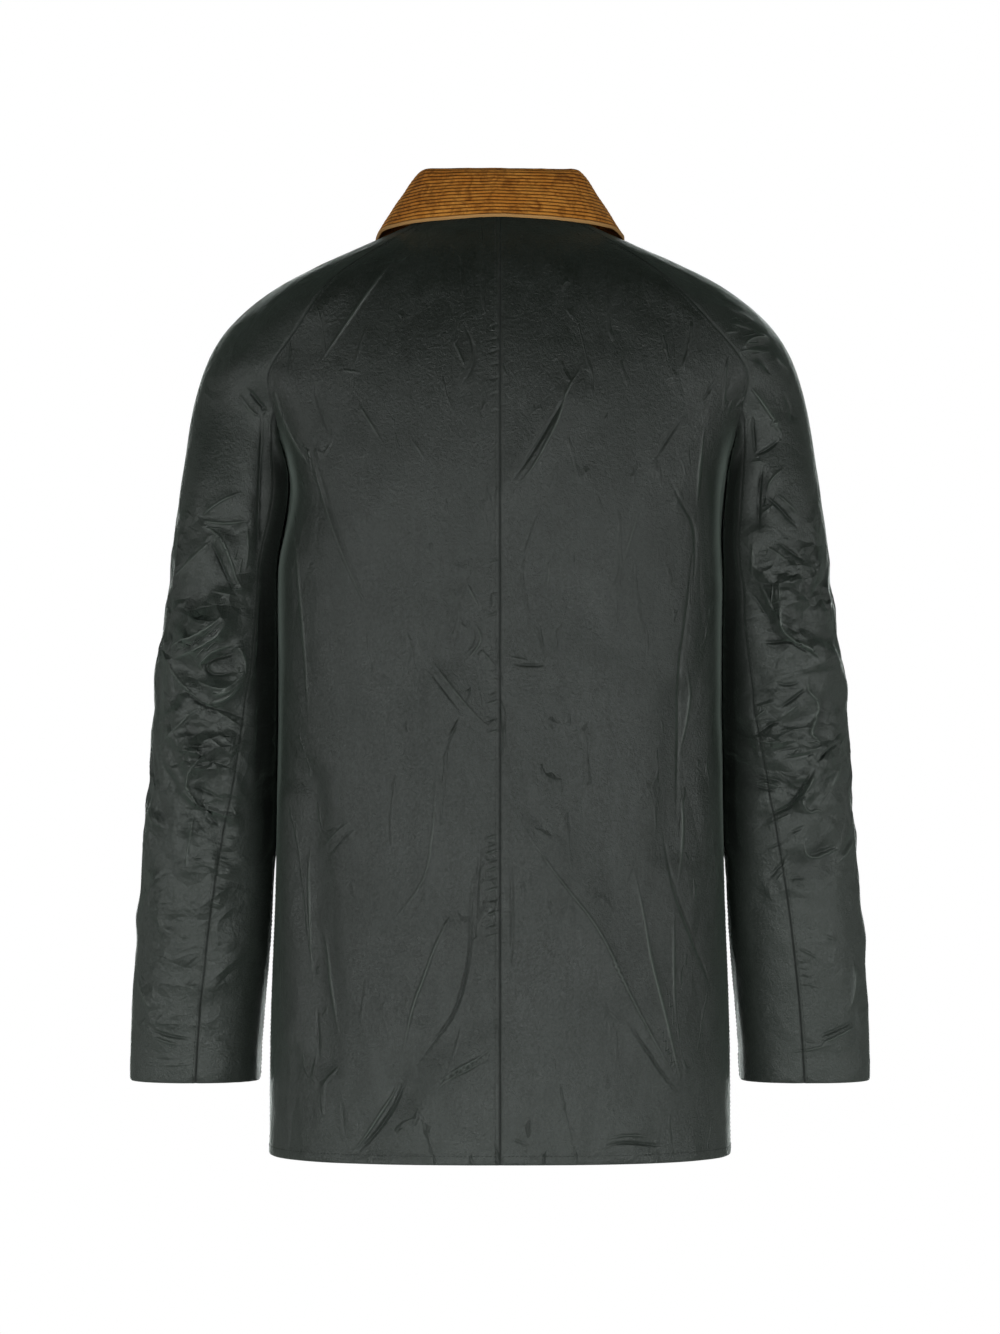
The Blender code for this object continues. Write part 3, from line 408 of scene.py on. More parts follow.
        (3.4, 1.2, -179, 689, -191, 683, -207, 676),
        (3.4, 1.1, -184, 674, -197, 671, -207, 668),
        (3, 0.9, -181, 666, -192, 667),
        (5, 2.4, -197, 651, -197, 658, -204, 662, -213, 663, -219, 659),
        (4, -1.8, -201, 654, -210, 657, -217, 655),
        (3.2, 1.4, -191, 650, -200, 652, -212, 651, -219, 652),
        (4, 1.6, -221, 650, -226, 643, -234, 637),
        (9, -2.8, -202, 645, -212, 644, -218, 633),
        (9, 2.4, -200, 625, -209, 612, -217, 599, -229, 583),
        (6, -2.2, -204, 599, -205, 581, -206, 568),
        (6, -2.6, -205, 568, -217, 573, -226, 581),
        (6, 1.4, -216, 594, -226, 587),
        (4, 1.8, -201, 562, -212, 563),
        (8, -3.2, -212, 559, -209, 544, -208, 523, -209, 505),
        (7, 2.2, -215, 539, -218, 548, -228, 557),
        (9, -1.4, -229, 619, -236, 607, -236, 594),
        (6, 1.8, 209, 538, 229, 529, 241, 518),
        (5, 2.0, 241, 516, 226, 513, 203, 515),
        (6, 2.2, 241, 513, 226, 503, 217, 483, 213, 466, 203, 455),
        (6, -2.0, 234, 500, 221, 472, 211, 451),
        (5, 1.6, 204, 512, 203, 490, 206, 473),
        (8, 1.0, 230, 501, 248, 484, 269, 463),
        (5, 1.2, 234, 459, 217, 455, 203, 451),
        (6, 2.4, 223, 440, 235, 428, 269, 412),
        (5, -2.0, 221, 435, 234, 424, 263, 408),
        (6, 1.8, 220, 432, 232, 420, 265, 403),
        (5, -1.8, 269, 429, 264, 420, 270, 407),
        (5, 2.4, 214, 415, 235, 411, 244, 401, 238, 391),
        (5, -2.2, 213, 409, 232, 404, 239, 398, 234, 390, 213, 393),
        (6, 2.2, 246, 386, 226, 378, 213, 385, 204, 399),
        (6, 2.6, 215, 419, 205, 403, 206, 388, 220, 372, 238, 366),
        (7, -2.6, 203, 412, 198, 396, 203, 380, 214, 367),
        (6, -2.4, 257, 378, 240, 365, 212, 359),
        (6, 1.8, 269, 403, 258, 385, 243, 370),
        (5, 1.6, 235, 365, 221, 357, 208, 347),
        (7, -3.0, 204, 622, 196, 611, 187, 603),
        (6, 1.6, 210, 617, 201, 604, 193, 598),
    ]),
]
CREASES = [
    Crease(on, list(zip(row[2::2], row[3::2])), *row[:2]) for on, rows in CREASE_ROWS for row in rows
]

# The left armhole hangs nearer the middle of the back than the right one: where the skin is pulled across.
ARMHOLE_PULL = 13.0
# Ranges of four run from where a thing starts, over where it is full and is still full, to where it ends.
PULL_HEIGHTS = (470, 556, 650, 716)
PULL_ACROSS = (70, 172, 206, 262)
PULL_BEHIND = (0, 60)

# The collar: where its fold line and its lower edge run, by the angle round the neck.
CollarLine = namedtuple("CollarLine", "angle fold edge")
COLLAR_LINES = [
    CollarLine(0, (0, 50, 800), (0, 88, 761)),
    CollarLine(30, (36, 45, 800), (42, 82, 759)),
    CollarLine(60, (61, 22, 800), (80, 55, 756)),
    CollarLine(90, (66, -14, 794), (99, 4, 752)),
    CollarLine(120, (54, -50, 778), (100, -48, 738)),
    CollarLine(150, (32, -78, 757), (86, -98, 710)),
    CollarLine(173, (9, -88, 739), (48, -132, 668)),
]
COLLAR_COLUMNS = 26
COLLAR_FOLD_RADIUS = 4.2
STAND_MIDDLE = 0.55  # how far up the stand its middle row lies
FallRow = namedtuple("FallRow", "share bulge")  # how far down the fall, and how proud of a straight line
FALL_ROWS = [FallRow(0.36, 2.0), FallRow(0.7, 1.6), FallRow(1.0, 0.0)]
COLLAR_SEAT = 1.2  # height of the stand's middle above the neck seam
COLLAR_LIFT = 4.2  # least distance of the fall above the cloth it lies over


def smooth_between(rows, key, value, place):
    """A value at a place between rows, on a smooth curve through all the rows."""
    places = [getattr(row, key) for row in rows]
    values = [np.array(getattr(row, value), float) for row in rows]
    last = len(rows) - 2
    first = min(max(int(np.searchsorted(places, place, side="right")) - 1, 0), last)
    span = places[first + 1] - places[first]
    step = (place - places[first]) / span

    def slope(index):
        low, high = max(index - 1, 0), min(index + 1, len(rows) - 1)
        return (values[high] - values[low]) / (places[high] - places[low])

    start, end = values[first], values[first + 1]
    leave, arrive = slope(first) * span, slope(first + 1) * span
    return (
        (1 + 2 * step) * (1 - step) ** 2 * start
        + step * (1 - step) ** 2 * leave
        + step**2 * (3 - 2 * step) * end
        - step**2 * (1 - step) * arrive
    )


def distances_along(line):
    """How far along a line each of its points is."""
    return np.concatenate([[0], np.cumsum(np.linalg.norm(np.diff(line, axis=0), axis=1))])


def between(reached, rows, at):
    """The row of values at a place, on straight lines between the rows."""
    return np.array([np.interp(at, reached, column) for column in rows.T])


def evenly(points, count):
    """The same line as count + 1 points, spaced evenly along it."""
    points = np.array(points, float)
    reached = distances_along(points)
    return [tuple(between(reached, points, at)) for at in np.linspace(0, reached[-1], count + 1)]


def arc(apex, end, run_axis, angle, count, squareness=2.0):
    """Points from the apex of an arc to its end. The arc leaves the apex along one axis and falls away."""
    apex, end = np.array(apex, float), np.array(end, float)
    power = 2 / squareness
    run = np.zeros(3)
    run[run_axis] = (end - apex)[run_axis]
    fall = end - apex - run
    turns = np.radians(np.linspace(0, angle, ARC_SAMPLES))
    along = np.sin(turns) ** power
    fallen = 1 - np.maximum(np.cos(turns), 0) ** power
    line = [apex + run * out / along[-1] + fall * down / fallen[-1] for out, down in zip(along, fallen)]
    return evenly(line, count)


def neck_point(angle):
    """A point of the neck seam, at an angle in degrees from the centre back towards the left."""
    turn = math.radians(angle)
    behind = math.cos(turn) > 0
    depth = NECK_BACK if behind else NECK_FRONT
    rise = NECK_RISE_BACK if behind else NECK_DROP_FRONT
    return (
        NECK_HALF_WIDTH * math.sin(turn),
        NECK_CENTRE_Y + depth * math.cos(turn),
        HELD_HEIGHT + rise * math.cos(turn),
    )


def neck_arc(start_angle, end_angle, count):
    return [neck_point(angle) for angle in np.linspace(start_angle, end_angle, count + 1)]


def body_section(height):
    """The body's half width, back depth, front depth and squareness at a height."""
    height = min(max(height, 0.0), BODY_SECTIONS[-1].height)
    sizes = BodySection._fields[1:]
    return [float(smooth_between(BODY_SECTIONS, "height", size, height)) for size in sizes]


def body_half_width(y, height):
    """How far out the side of the body is, at a depth and a height."""
    half_width, back, front, squareness = body_section(height)
    depth = back if y > 0 else front
    return half_width * max(1 - (abs(y) / depth) ** squareness, 0.0) ** (1 / squareness)


def body_point(which, share, height):
    """A point of the body, at a share of the way from the centre back or front round to the side."""
    half_width, back, front, squareness = body_section(height)
    middle = (0, back if which == "back" else -front, height)
    quarter = np.array(arc(middle, (half_width, 0, height), 0, 90, ARC_SAMPLES, squareness))
    return tuple(between(range(ARC_SAMPLES + 1), quarter, share * ARC_SAMPLES))


def body_rows(which):
    """Rows of the back or the front from the hem to the armhole, each from the centre round to the side."""
    outer = 1 - ARMHOLE_SHARE
    shares = list(np.linspace(0, outer, CENTRE_COLUMNS + 1))
    shares += list(np.linspace(outer, 1, ARMHOLE_STEPS + 1)[1:])
    top = yoke_rows(which)[0] + [getattr(point, which) for point in LOWER_ARMHOLE[::-1]]
    rows = []
    for reach in np.linspace(0, 1, BODY_ROWS + 1)[:-1]:
        rows.append([body_point(which, share, reach * above[2]) for share, above in zip(shares, top)])
    return rows + [top]


def yoke_rows(which):
    """Rows of the back or the front from the armhole to the neck, each from the centre to the seam."""
    rows = []
    for row in RAGLAN_ROWS:
        y, height = getattr(row, which + "_centre")
        seam = getattr(row, which)
        angle = getattr(row, which + "_arc")
        rows.append(arc((0, y, height), seam, 0, angle, CENTRE_COLUMNS, row.squareness))
    if which == "back":
        rows.append(neck_arc(0, NECK_BACK_SEAM_ANGLE, CENTRE_COLUMNS))
    else:
        rows.append(neck_arc(180, NECK_FRONT_SEAM_ANGLE, CENTRE_COLUMNS))
    return rows


def overarm_rows():
    """Rows of the sleeve over the shoulder, each from the back seam to the front one."""
    half = OVERARM_COLUMNS // 2
    rows = []
    for row, seams in zip(OVERARM_ROWS, RAGLAN_ROWS):
        behind = arc(row.apex, seams.back, 1, row.back_arc, half, row.squareness)
        before = arc(row.apex, seams.front, 1, row.front_arc, half, row.squareness)
        rows.append(behind[::-1] + before[1:])
    rows.append(neck_arc(NECK_BACK_SEAM_ANGLE, NECK_FRONT_SEAM_ANGLE, OVERARM_COLUMNS))
    return rows


def ring_points(ring):
    """One ring of the sleeve, from the underarm seam round the back and the outside to the seam again."""
    dense = []
    for angle in range(361):
        turn = math.radians(angle)
        power = 2 / ring.squareness
        across = -math.copysign(abs(math.cos(turn)) ** power, math.cos(turn))
        deep = math.copysign(abs(math.sin(turn)) ** power, math.sin(turn))
        y = ring.centre_y + ring.half_depth * deep
        height = ring.height - ring.underarm_drop * ((1 + math.cos(turn)) / 2) ** 2
        x = ring.centre_x + ring.half_width * across
        x = max(x, body_half_width(y, height) + ring.clearance)
        dense.append((x, y, height))
    front_angle = 360 - ring.seam_angle
    behind = evenly(dense[: ring.seam_angle + 1], ARMHOLE_STEPS)
    over = evenly(dense[ring.seam_angle : front_angle + 1], OVERARM_COLUMNS)
    before = evenly(dense[front_angle:], ARMHOLE_STEPS)
    return behind + over[1:] + before[1:]


def sleeve_rows():
    """Rows of the sleeve from the armhole down to the cuff, the first along the raglan seams."""
    behind = [point.back for point in LOWER_ARMHOLE]
    before = [point.front for point in LOWER_ARMHOLE]
    armhole = behind + overarm_rows()[0] + before[::-1]
    return [armhole] + [ring_points(ring) for ring in SLEEVE_RINGS]


class Cage:
    """The control mesh of the skin: points in millimetres, and four-sided cells that each name a piece."""

    def __init__(self):
        self.points = []
        self.cells = []
        self.pieces = []
        self.numbers = {}

    def number(self, point):
        key = tuple(round(value, 2) + 0.0 for value in point)
        if key not in self.numbers:
            self.numbers[key] = len(self.points)
            self.points.append(tuple(point))
        return self.numbers[key]

    def add_rows(self, piece, rows, mirror):
        flip = -1 if mirror else 1
        numbers = [[self.number((flip * x, y, z)) for x, y, z in row] for row in rows]
        for low, high in zip(numbers, numbers[1:]):
            for corner in range(len(low) - 1):
                cell = (low[corner], low[corner + 1], high[corner + 1], high[corner])
                self.cells.append(cell[::-1] if mirror else cell)
                self.pieces.append(piece)


def build_cage():
    """The whole jacket's control mesh, with every cell facing out."""
    cage = Cage()
    sleeve = sleeve_rows()
    for side, mirror in (("left", False), ("right", True)):
        for which in ("back", "front"):
            for rows in (body_rows(which), yoke_rows(which)):
                outward = [row[::-1] for row in rows] if which == "back" else rows
                cage.add_rows(which + "_" + side, outward, mirror)
        cage.add_rows("sleeve_under_" + side, [row[: ARMHOLE_STEPS + 1] for row in sleeve], mirror)
        cage.add_rows("sleeve_top_" + side, [row[ARMHOLE_STEPS:] for row in sleeve], mirror)
        cage.add_rows("sleeve_top_" + side, [row[::-1] for row in overarm_rows()], mirror)
    return cage


def add_object(name, data):
    """A new object of the scene with some data."""
    thing = bpy.data.objects.new(name, data)
    bpy.context.scene.collection.objects.link(thing)
    return thing


def subdivided(points, cells, marks, levels):
    """The smooth surface of a control mesh: its points, its four-sided faces and their marks."""
    mesh = bpy.data.meshes.new("skin")
    mesh.from_pydata([tuple(point) for point in points], [], cells)
    mesh.polygons.foreach_set("material_index", marks)
    holder = add_object("skin", mesh)
    smooth = holder.modifiers.new("smooth", "SUBSURF")
    smooth.levels = levels
    smooth.render_levels = levels
    bpy.context.view_layer.update()
    result = holder.evaluated_get(bpy.context.evaluated_depsgraph_get()).to_mesh()
    new_points = np.empty(len(result.vertices) * 3, np.float32)
    result.vertices.foreach_get("co", new_points)
    faces = np.empty(len(result.loops), np.int32)
    result.loops.foreach_get("vertex_index", faces)
    new_marks = np.empty(len(result.polygons), np.int32)
    result.polygons.foreach_get("material_index", new_marks)
    bpy.data.objects.remove(holder)
    bpy.data.meshes.remove(mesh)
    return new_points.reshape(-1, 3).astype(float), faces.reshape(-1, 4), new_marks


def fitted_skin(cage, levels):
    """The smooth surface that passes through the cage's own points, with the piece of each face."""
    names = sorted(set(cage.pieces))
    marks = [names.index(piece) for piece in cage.pieces]
    wanted = np.array(cage.points)
    control = wanted.copy()
    for _ in range(FIT_ROUNDS):
        reached = subdivided(control, cage.cells, marks, 1)[0][: len(wanted)]
        control += wanted - reached
    points, faces, face_marks = subdivided(control, cage.cells, marks, levels)
    return points, faces, np.array(names)[face_marks]


def unit(vectors):
    return vectors / np.maximum(np.linalg.norm(vectors, axis=-1, keepdims=True), 1e-12)


def normals_of(points, faces):
    """Unit normals at the points of four-sided faces, each face counting by its angle at the point."""
    corners = points[faces]
    normals = np.zeros_like(points)
    for corner in range(4):
        here = corners[:, corner]
        ahead = unit(corners[:, (corner + 1) % 4] - here)
        behind = unit(corners[:, corner - 1] - here)
        angle = np.arccos(np.clip((ahead * behind).sum(axis=1), -1, 1))
        np.add.at(normals, faces[:, corner], unit(np.cross(ahead, behind)) * angle[:, None])
    return unit(normals)


def area_of(points, faces):
    """The area of four-sided faces, in square metres."""
    corners = points[faces]
    crossed = np.cross(corners[:, 2] - corners[:, 0], corners[:, 3] - corners[:, 1])
    return np.linalg.norm(crossed, axis=1).sum() / 2 * METRES**2


def grid_cells(rows, columns):
    """The four-sided cells of points that lie in rows."""
    starts = (np.arange(rows - 1)[:, None] * columns + np.arange(columns - 1)[None, :]).reshape(-1)
    return np.stack([starts, starts + 1, starts + columns + 1, starts + columns], axis=1)


def line_distance(across, heights, start, end):
    """How far points of a view are from the line between two places of it."""
    start, end = np.array(start, float), np.array(end, float)
    along = end - start
    offset = np.stack([across - start[0], heights - start[1]], axis=1)
    step = np.clip(offset @ along / (along @ along), 0, 1)
    return np.linalg.norm(offset - step[:, None] * along, axis=1)


def soft_step(value):
    value = np.clip(value, 0, 1)
    return value * value * (3 - 2 * value)


def eased(value, start, full):
    """0 up to the start and 1 from full on, with a smooth change between them."""
    return soft_step((value - start) / (full - start))


def within(value, start, full, still_full, end):
    """1 in the middle of a range, with a smooth change to 0 at each end."""
    return eased(value, start, full) * eased(value, end, still_full)


def pull_armhole(points):
    """The skin with the back of its left armhole pulled towards the centre back."""
    x, y, height = points.T
    share = np.ones(len(points))
    share *= within(height, *PULL_HEIGHTS)
    share *= within(x, *PULL_ACROSS)
    share *= eased(y, *PULL_BEHIND)
    return points - np.outer(share, [ARMHOLE_PULL, 0, 0])


def sleeve_points(points, faces, pieces):
    """Which points lie on a sleeve, as the solids' folds take them."""
    on_sleeve = np.zeros(len(points), bool)
    on_sleeve[faces[np.char.startswith(pieces, "sleeve")]] = True
    return on_sleeve


def fold_skin(points, faces, pieces):
    """The skin with its folds pressed into it."""
    normals = normals_of(points, faces)
    on_sleeve = sleeve_points(points, faces, pieces)
    moved = np.zeros(len(points))
    for fold in FOLDS:
        side = SIDES[fold.seen_from]
        facing = soft_step(normals[:, side.facing] * side.sign * FACING_SHARPNESS)
        where = on_sleeve if fold.on == "sleeve" else ~on_sleeve
        if side.facing == 0:
            where = where & (points[:, 0] * side.sign > 0)
        away = line_distance(points[:, side.across], points[:, 2], fold.start, fold.end) / fold.half_width
        moved += fold.depth * soft_step(1 - away) * facing * where
    return points + normals * moved[:, None]


def collar_section(angle):
    """The collar's profile at an angle round the neck: up the stand, over the fold and down the fall."""
    side = 1 if angle >= 0 else -1
    flip = np.array([side, 1, 1])
    seam = np.array(neck_point(abs(angle)))
    fold = smooth_between(COLLAR_LINES, "angle", "fold", abs(angle))
    edge = smooth_between(COLLAR_LINES, "angle", "edge", abs(angle))
    up = np.array([0.0, 0.0, 1.0])
    out = unit((edge - fold) * [1, 1, 0])
    seam = seam + up * COLLAR_SEAT
    radius = COLLAR_FOLD_RADIUS
    centre = fold - up * radius
    inside = centre - out * radius
    down = unit(edge - centre)
    square = unit(up - down * (up @ down))
    outside = centre + square * radius
    middle_of_turn = centre + unit(square - out + up) * radius
    profile = [seam, seam + (inside - seam) * STAND_MIDDLE, inside, middle_of_turn, outside]
    profile += [outside + (edge - outside) * row.share + square * row.bulge for row in FALL_ROWS]
    return [point * flip for point in profile]


# --- the fine skin -------------------------------------------------------------------------------------

# How far the stitches lie from a piece's edge, by the piece that they hold down and the one it is sewn to. At
# a free edge, such as the hem, the other one is None.
HEM_STITCH = 7.0
STITCHED = {
    ("back_left", "back_right"): 3.8,
    ("front_left", "front_right"): 5.0,
    ("front_right", "front_left"): 5.0,
}
for wearer in ("left", "right"):
    back, front, top, under = (kind + wearer for kind in ("back_", "front_", "sleeve_top_", "sleeve_under_"))
    STITCHED.update({(half, sleeve): 3.2 for half in (back, front) for sleeve in (top, under)})
    STITCHED.update({(half, None): HEM_STITCH for half in (back, front)})
    STITCHED.update({(back, front): 3.2, (top, under): 2.6})
SEAM_STEP = 0.7  # between the points that stand for a seam
SLIDE_REACH = 30.0  # the net of the skin is drawn together towards a seam from this far off
SLIDE_POWER = 1.55
GROOVE = (0.9, 0.8)  # depth and half width of the dip along a seam
LAP_RISE = 0.3
LAP_BEYOND = 1.2  # the lap goes on past its stitches
LAP_SOFT = 1.4
STITCH_DIP = (0.22, 0.7)  # depth and half width of the dip along the stitches
HEM_DIP = 1.3  # as many times deeper at the hem
PUCKER = (0.32, 4.6, 7.0)  # of the cloth near a seam: height, size, and how far it reaches
CALM_AT_SEAM = (0.25, 7)  # share of the crumple that is left at a seam, and how far off it is whole again
CALM_AT_EDGE = (0.35, 9)
EDGE_ROUND = (0.7, 1.6)
WORN_REACH = 2.2
SEAM_SHADE = 0.9
TURNED_EDGE = (0.5, 1.1)  # how far the hem and cuffs stand proud, and how softly
CUFF_TURN = 21.0
HEM_TURN = 8.0
NECK_TOP = 700.0  # no free edge above this is hemmed: it is under the collar
FAR = 1000.0


def tree_of(points):
    """Points in a tree that finds the nearest."""
    tree = KDTree(len(points))
    for number, point in enumerate(points):
        tree.insert(point, number)
    tree.balance()
    return tree


class Skin:
    """The jacket's outer face at one fineness, with the lines of its seams."""

    def __init__(self, levels):
        points, self.faces, self.pieces = fitted_skin(build_cage(), levels)
        self.points = fold_skin(pull_armhole(points), self.faces, self.pieces)
        self.find_edges()
        self.slide()
        self.normals = normals_of(self.points, self.faces)

    def find_edges(self):
        """Every edge between two pieces, or at a free edge, by the piece on one side of it."""
        faces = self.faces
        ends = np.concatenate([faces[:, [side, (side + 1) % 4]] for side in range(4)])
        owner = np.tile(np.arange(len(faces)), 4)
        key = np.sort(ends, axis=1)
        order = np.lexsort((key[:, 1], key[:, 0]))
        key, ends, owner = key[order], ends[order], owner[order]
        same = (key[1:] == key[:-1]).all(axis=1)
        partner = np.full(len(key), -1)
        partner[:-1][same] = owner[1:][same]
        partner[1:][same] = owner[:-1][same]
        mine = self.pieces[owner]
        theirs = np.where(partner < 0, "", self.pieces[partner])
        border = mine != theirs
        self.edges = {}
        for (first, second), one, two in zip(ends[border], mine[border], theirs[border]):
            self.edges.setdefault((str(one), str(two) or None), []).append((first, second))

    def slide(self):
        """Draws the net's points towards the nearest seam, along the skin, so that seams have fine cells."""
        tree = tree_of(np.concatenate([self.edge_points(rows) for rows in self.edges.values()]))
        places = self.points.tolist()
        is_sleeve = np.char.startswith(self.pieces, "sleeve")
        skins = [BVHTree.FromPolygons(places, self.faces[kind].tolist()) for kind in (~is_sleeve, is_sleeve)]
        on_sleeve = sleeve_points(self.points, self.faces, self.pieces)
        on_edge = {end for rows in self.edges.values() for row in rows for end in row}
        for number, point in enumerate(self.points):
            if number in on_edge:
                continue
            seam, _, away = tree.find(point)
            if away >= SLIDE_REACH:
                continue
            wanted = SLIDE_REACH * (away / SLIDE_REACH) ** SLIDE_POWER
            there = seam + (Vector(point) - seam) * (wanted / away)
            self.points[number] = skins[int(on_sleeve[number])].find_nearest(there)[0]

    def edge_points(self, rows):
        """Points all along some edges."""
        ends = np.array(rows)
        first, second = self.points[ends[:, 0]], self.points[ends[:, 1]]
        most = np.linalg.norm(second - first, axis=1).max()
        steps = max(int(math.ceil(most / SEAM_STEP)), 1)
        return np.concatenate([first + (second - first) * step / steps for step in range(steps + 1)])


def away_from(places, line):
    """How far places are from a line of points, or far away where it has none."""
    if not len(line):
        return np.full(len(places), FAR)
    tree = tree_of(line)
    return np.array([tree.find(place)[2] for place in places])


def path_distance(across, heights, path):
    """How far points of a view are from a path, the share of the way along it, and on which side they are."""
    path = np.array(path, float)
    best = np.full(len(across), 1e9)
    side = np.ones(len(across))
    share = np.zeros(len(across))
    lengths = np.linalg.norm(np.diff(path, axis=0), axis=1)
    before = distances_along(path)
    for start, end, reached, length in zip(path, path[1:], before, lengths):
        along = (end - start) / max(length, 1e-9)
        offset = np.stack([across - start[0], heights - start[1]], axis=1)
        step = np.clip(offset @ along, 0, length)
        away = np.linalg.norm(offset - step[:, None] * along, axis=1)
        closer = away < best
        best[closer] = away[closer]
        share[closer] = (reached + step[closer]) / before[-1]
        side[closer] = np.where(offset[closer] @ np.array([-along[1], along[0]]) > 0, 1, -1)
    return best, share, side


def rounded_path(path):
    """The path with its corners cut, so that a crease bends and doesn't break."""
    path = np.array(path, float)
    for _ in range(2):
        if len(path) < 3:
            break
        low = path[:-1] * 0.75 + path[1:] * 0.25
        high = path[:-1] * 0.25 + path[1:] * 0.75
        between = np.stack([low, high], axis=1).reshape(-1, 2)
        path = np.concatenate([path[:1], between, path[-1:]])
    return path


CREASE_GAIN = {"body": 0.5, "sleeve": 2.4}
CREASE_SUNK = 0.6  # share of a sunk crease's depth that its net has
OUTER_CALM = 0.5  # the sleeve's outer side is smoother
OUTER = (0.5, 0.9)  # how far a point faces out, where that starts and where it is full
CREASE_FULL = 50.0  # a shorter crease is shallower in the net
SHORT_LEAST, SHORT_POWER = 0.15, 1.5  # share of its depth that the shortest keeps, and how fast that grows
LINE_SHARES = (0.45, 0.55)  # how strong its line is at any length, and how much more so at the full length
CREASE_WIDTH = 0.62  # share of the table's width that its net has
CREASE_WIDEST = 4.6
CREASE_NARROW = 5  # a wider sunk crease keeps its depth
CREST_REACH = 6.0  # how far from a crease its own line is known, for its crest is finer than the net
CREST_GAIN = {"body": 1.15, "sleeve": 1.1}
CREST_FADE = 3
CREST_KEPT = 9.0  # a line counts as the nearest up to this far off
NO_LINE = 99.0
CREST_BOX = 10.0  # how far round a crease points are looked for, at least
FACING_LEAST = 0.02
CREASE_FACING = 3
CREASE_END = 0.08  # share of its depth that a crease has at its very ends
END_AWAY = 4  # a fading end counts as this much farther off
CREASE_REACH = 3.2  # in widths
CREASE_TAPER = {"body": 0.5, "sleeve": 0.34}  # share of a crease over which each end fades
CREASE_CREST = 0.22  # how rounded the top of a crease is
CREASE_FALL = 1.25  # how fast its flanks fall away
CREASE_FADE = 1.2  # over how many widths it ends


def crease_profile(away):
    """The height of a crease across it, as a share of its depth: a narrow crest on soft flanks."""
    rounded = np.sqrt(away * away + CREASE_CREST**2) - CREASE_CREST
    return np.exp(-CREASE_FALL * rounded) * soft_step((CREASE_REACH - away) / CREASE_FADE)


# The front's creases are the back's, turned over, moved and made less deep. Those that would come too near the
# hem or the zip are left out.
Echo = namedtuple("Echo", "on shift share")
ECHOES = [Echo("sleeve", -14, 0.8), Echo("body", -26, 0.75)]
ECHO_LOWEST = 14
ECHO_NEAREST = 24


def all_creases():
    """Every crease with the side it is seen from."""
    found = [("back", crease) for crease in CREASES]
    for echo in ECHOES:
        for crease in CREASES:
            path = [(-across, up + echo.shift) for across, up in crease.path]
            low = min(up for _, up in path) < ECHO_LOWEST
            central = crease.on == "body" and min(abs(across) for across, _ in path) < ECHO_NEAREST
            if crease.on == echo.on and not low and not central:
                found.append(("front", crease._replace(path=path, depth=crease.depth * echo.share)))
    return found


def crease_heights(points, normals, on_sleeve):
    """How far the creases raise each point, and the nearest raised and sunk line's distance and depth."""
    raised = np.zeros(len(points))
    lines = {"crest": np.zeros((3, len(points))), "fold": np.zeros((3, len(points)))}
    for nearest in lines.values():
        nearest[:2] = NO_LINE
    x, _, height = points.T
    for seen_from, (on, path, width, depth) in all_creases():
        side = SIDES[seen_from]
        path = rounded_path(path)
        width = min(width * CREASE_WIDTH, CREASE_WIDEST)
        reach = max(width * CREASE_REACH, CREST_BOX)
        low, high = path.min(axis=0) - reach, path.max(axis=0) + reach
        here = (x > low[0]) & (x < high[0]) & (height > low[1]) & (height < high[1])
        here &= ~on_sleeve if on == "body" else on_sleeve
        here &= normals[:, side.facing] * side.sign > FACING_LEAST
        chosen = np.nonzero(here)[0]
        if not len(chosen):
            continue
        away, share, turn = path_distance(x[chosen], height[chosen], path)
        ends = soft_step(np.minimum(share, 1 - share) / CREASE_TAPER[on] + CREASE_END)
        facing = soft_step(normals[chosen, side.facing] * side.sign * CREASE_FACING)
        length = np.linalg.norm(np.diff(path, axis=0), axis=1).sum()
        short = min(1.0, SHORT_LEAST + (1 - SHORT_LEAST) * (length / CREASE_FULL) ** SHORT_POWER)
        gain = CREASE_GAIN[on] * short * (CREASE_SUNK if depth < 0 and width < CREASE_NARROW else 1.0)
        raised[chosen] += gain * depth * crease_profile(away / width) * ends * facing
        nearest = lines["crest" if depth > 0 else "fold"]
        score = away + END_AWAY * (1 - ends * facing)
        closer = (away < CREST_KEPT) & (score < nearest[0, chosen])
        taken = chosen[closer]
        line = LINE_SHARES[0] + LINE_SHARES[1] * short
        strength = CREST_GAIN[on] * abs(depth) * (ends * facing)[closer] * line
        nearest[0, taken] = score[closer]
        nearest[1, taken] = (away * turn)[closer]
        nearest[2, taken] = strength * soft_step((CREST_REACH - away[closer]) / CREST_FADE)
    return raised, lines


SLEEVE_HEIGHTS = (40, 160, 480, 600)
ELBOW_HEIGHTS = (190, 280, 430, 540)
WAIST_HEIGHT = 330
BODY_SIDE = 120  # the body's side begins this far from the middle
CRUMPLE_GAIN = (1.15, 0.7)  # of the sleeves and of the body
SWELL = 0.3  # of the wide soft noise under it
WARP_SIZE, WARP = 34, 9
RIDGE_MIDDLE, RIDGE_GAIN = 0.36, 1.6


def noise_at(points, scale, seed, stretch=(1, 1, 1)):
    """Smooth noise between about -1 and 1 at each point, with features of a size."""
    places = points * np.array(stretch) / scale + seed
    return np.array([noise.noise(Vector(place)) for place in places])


def ridged(points, scale, seed, stretch=(1, 1, 1)):
    """Noise whose zero lines are sharp ridges, with a mean near 0."""
    return RIDGE_MIDDLE - np.abs(noise_at(points, scale, seed, stretch)) * RIDGE_GAIN


def lumps(points, size, shift=(0, 0, 0)):
    """Smooth noise with lumps of a size, moved so that two noises of one place differ."""
    return np.array([noise.noise(Vector(point) / size + Vector(shift)) for point in points])


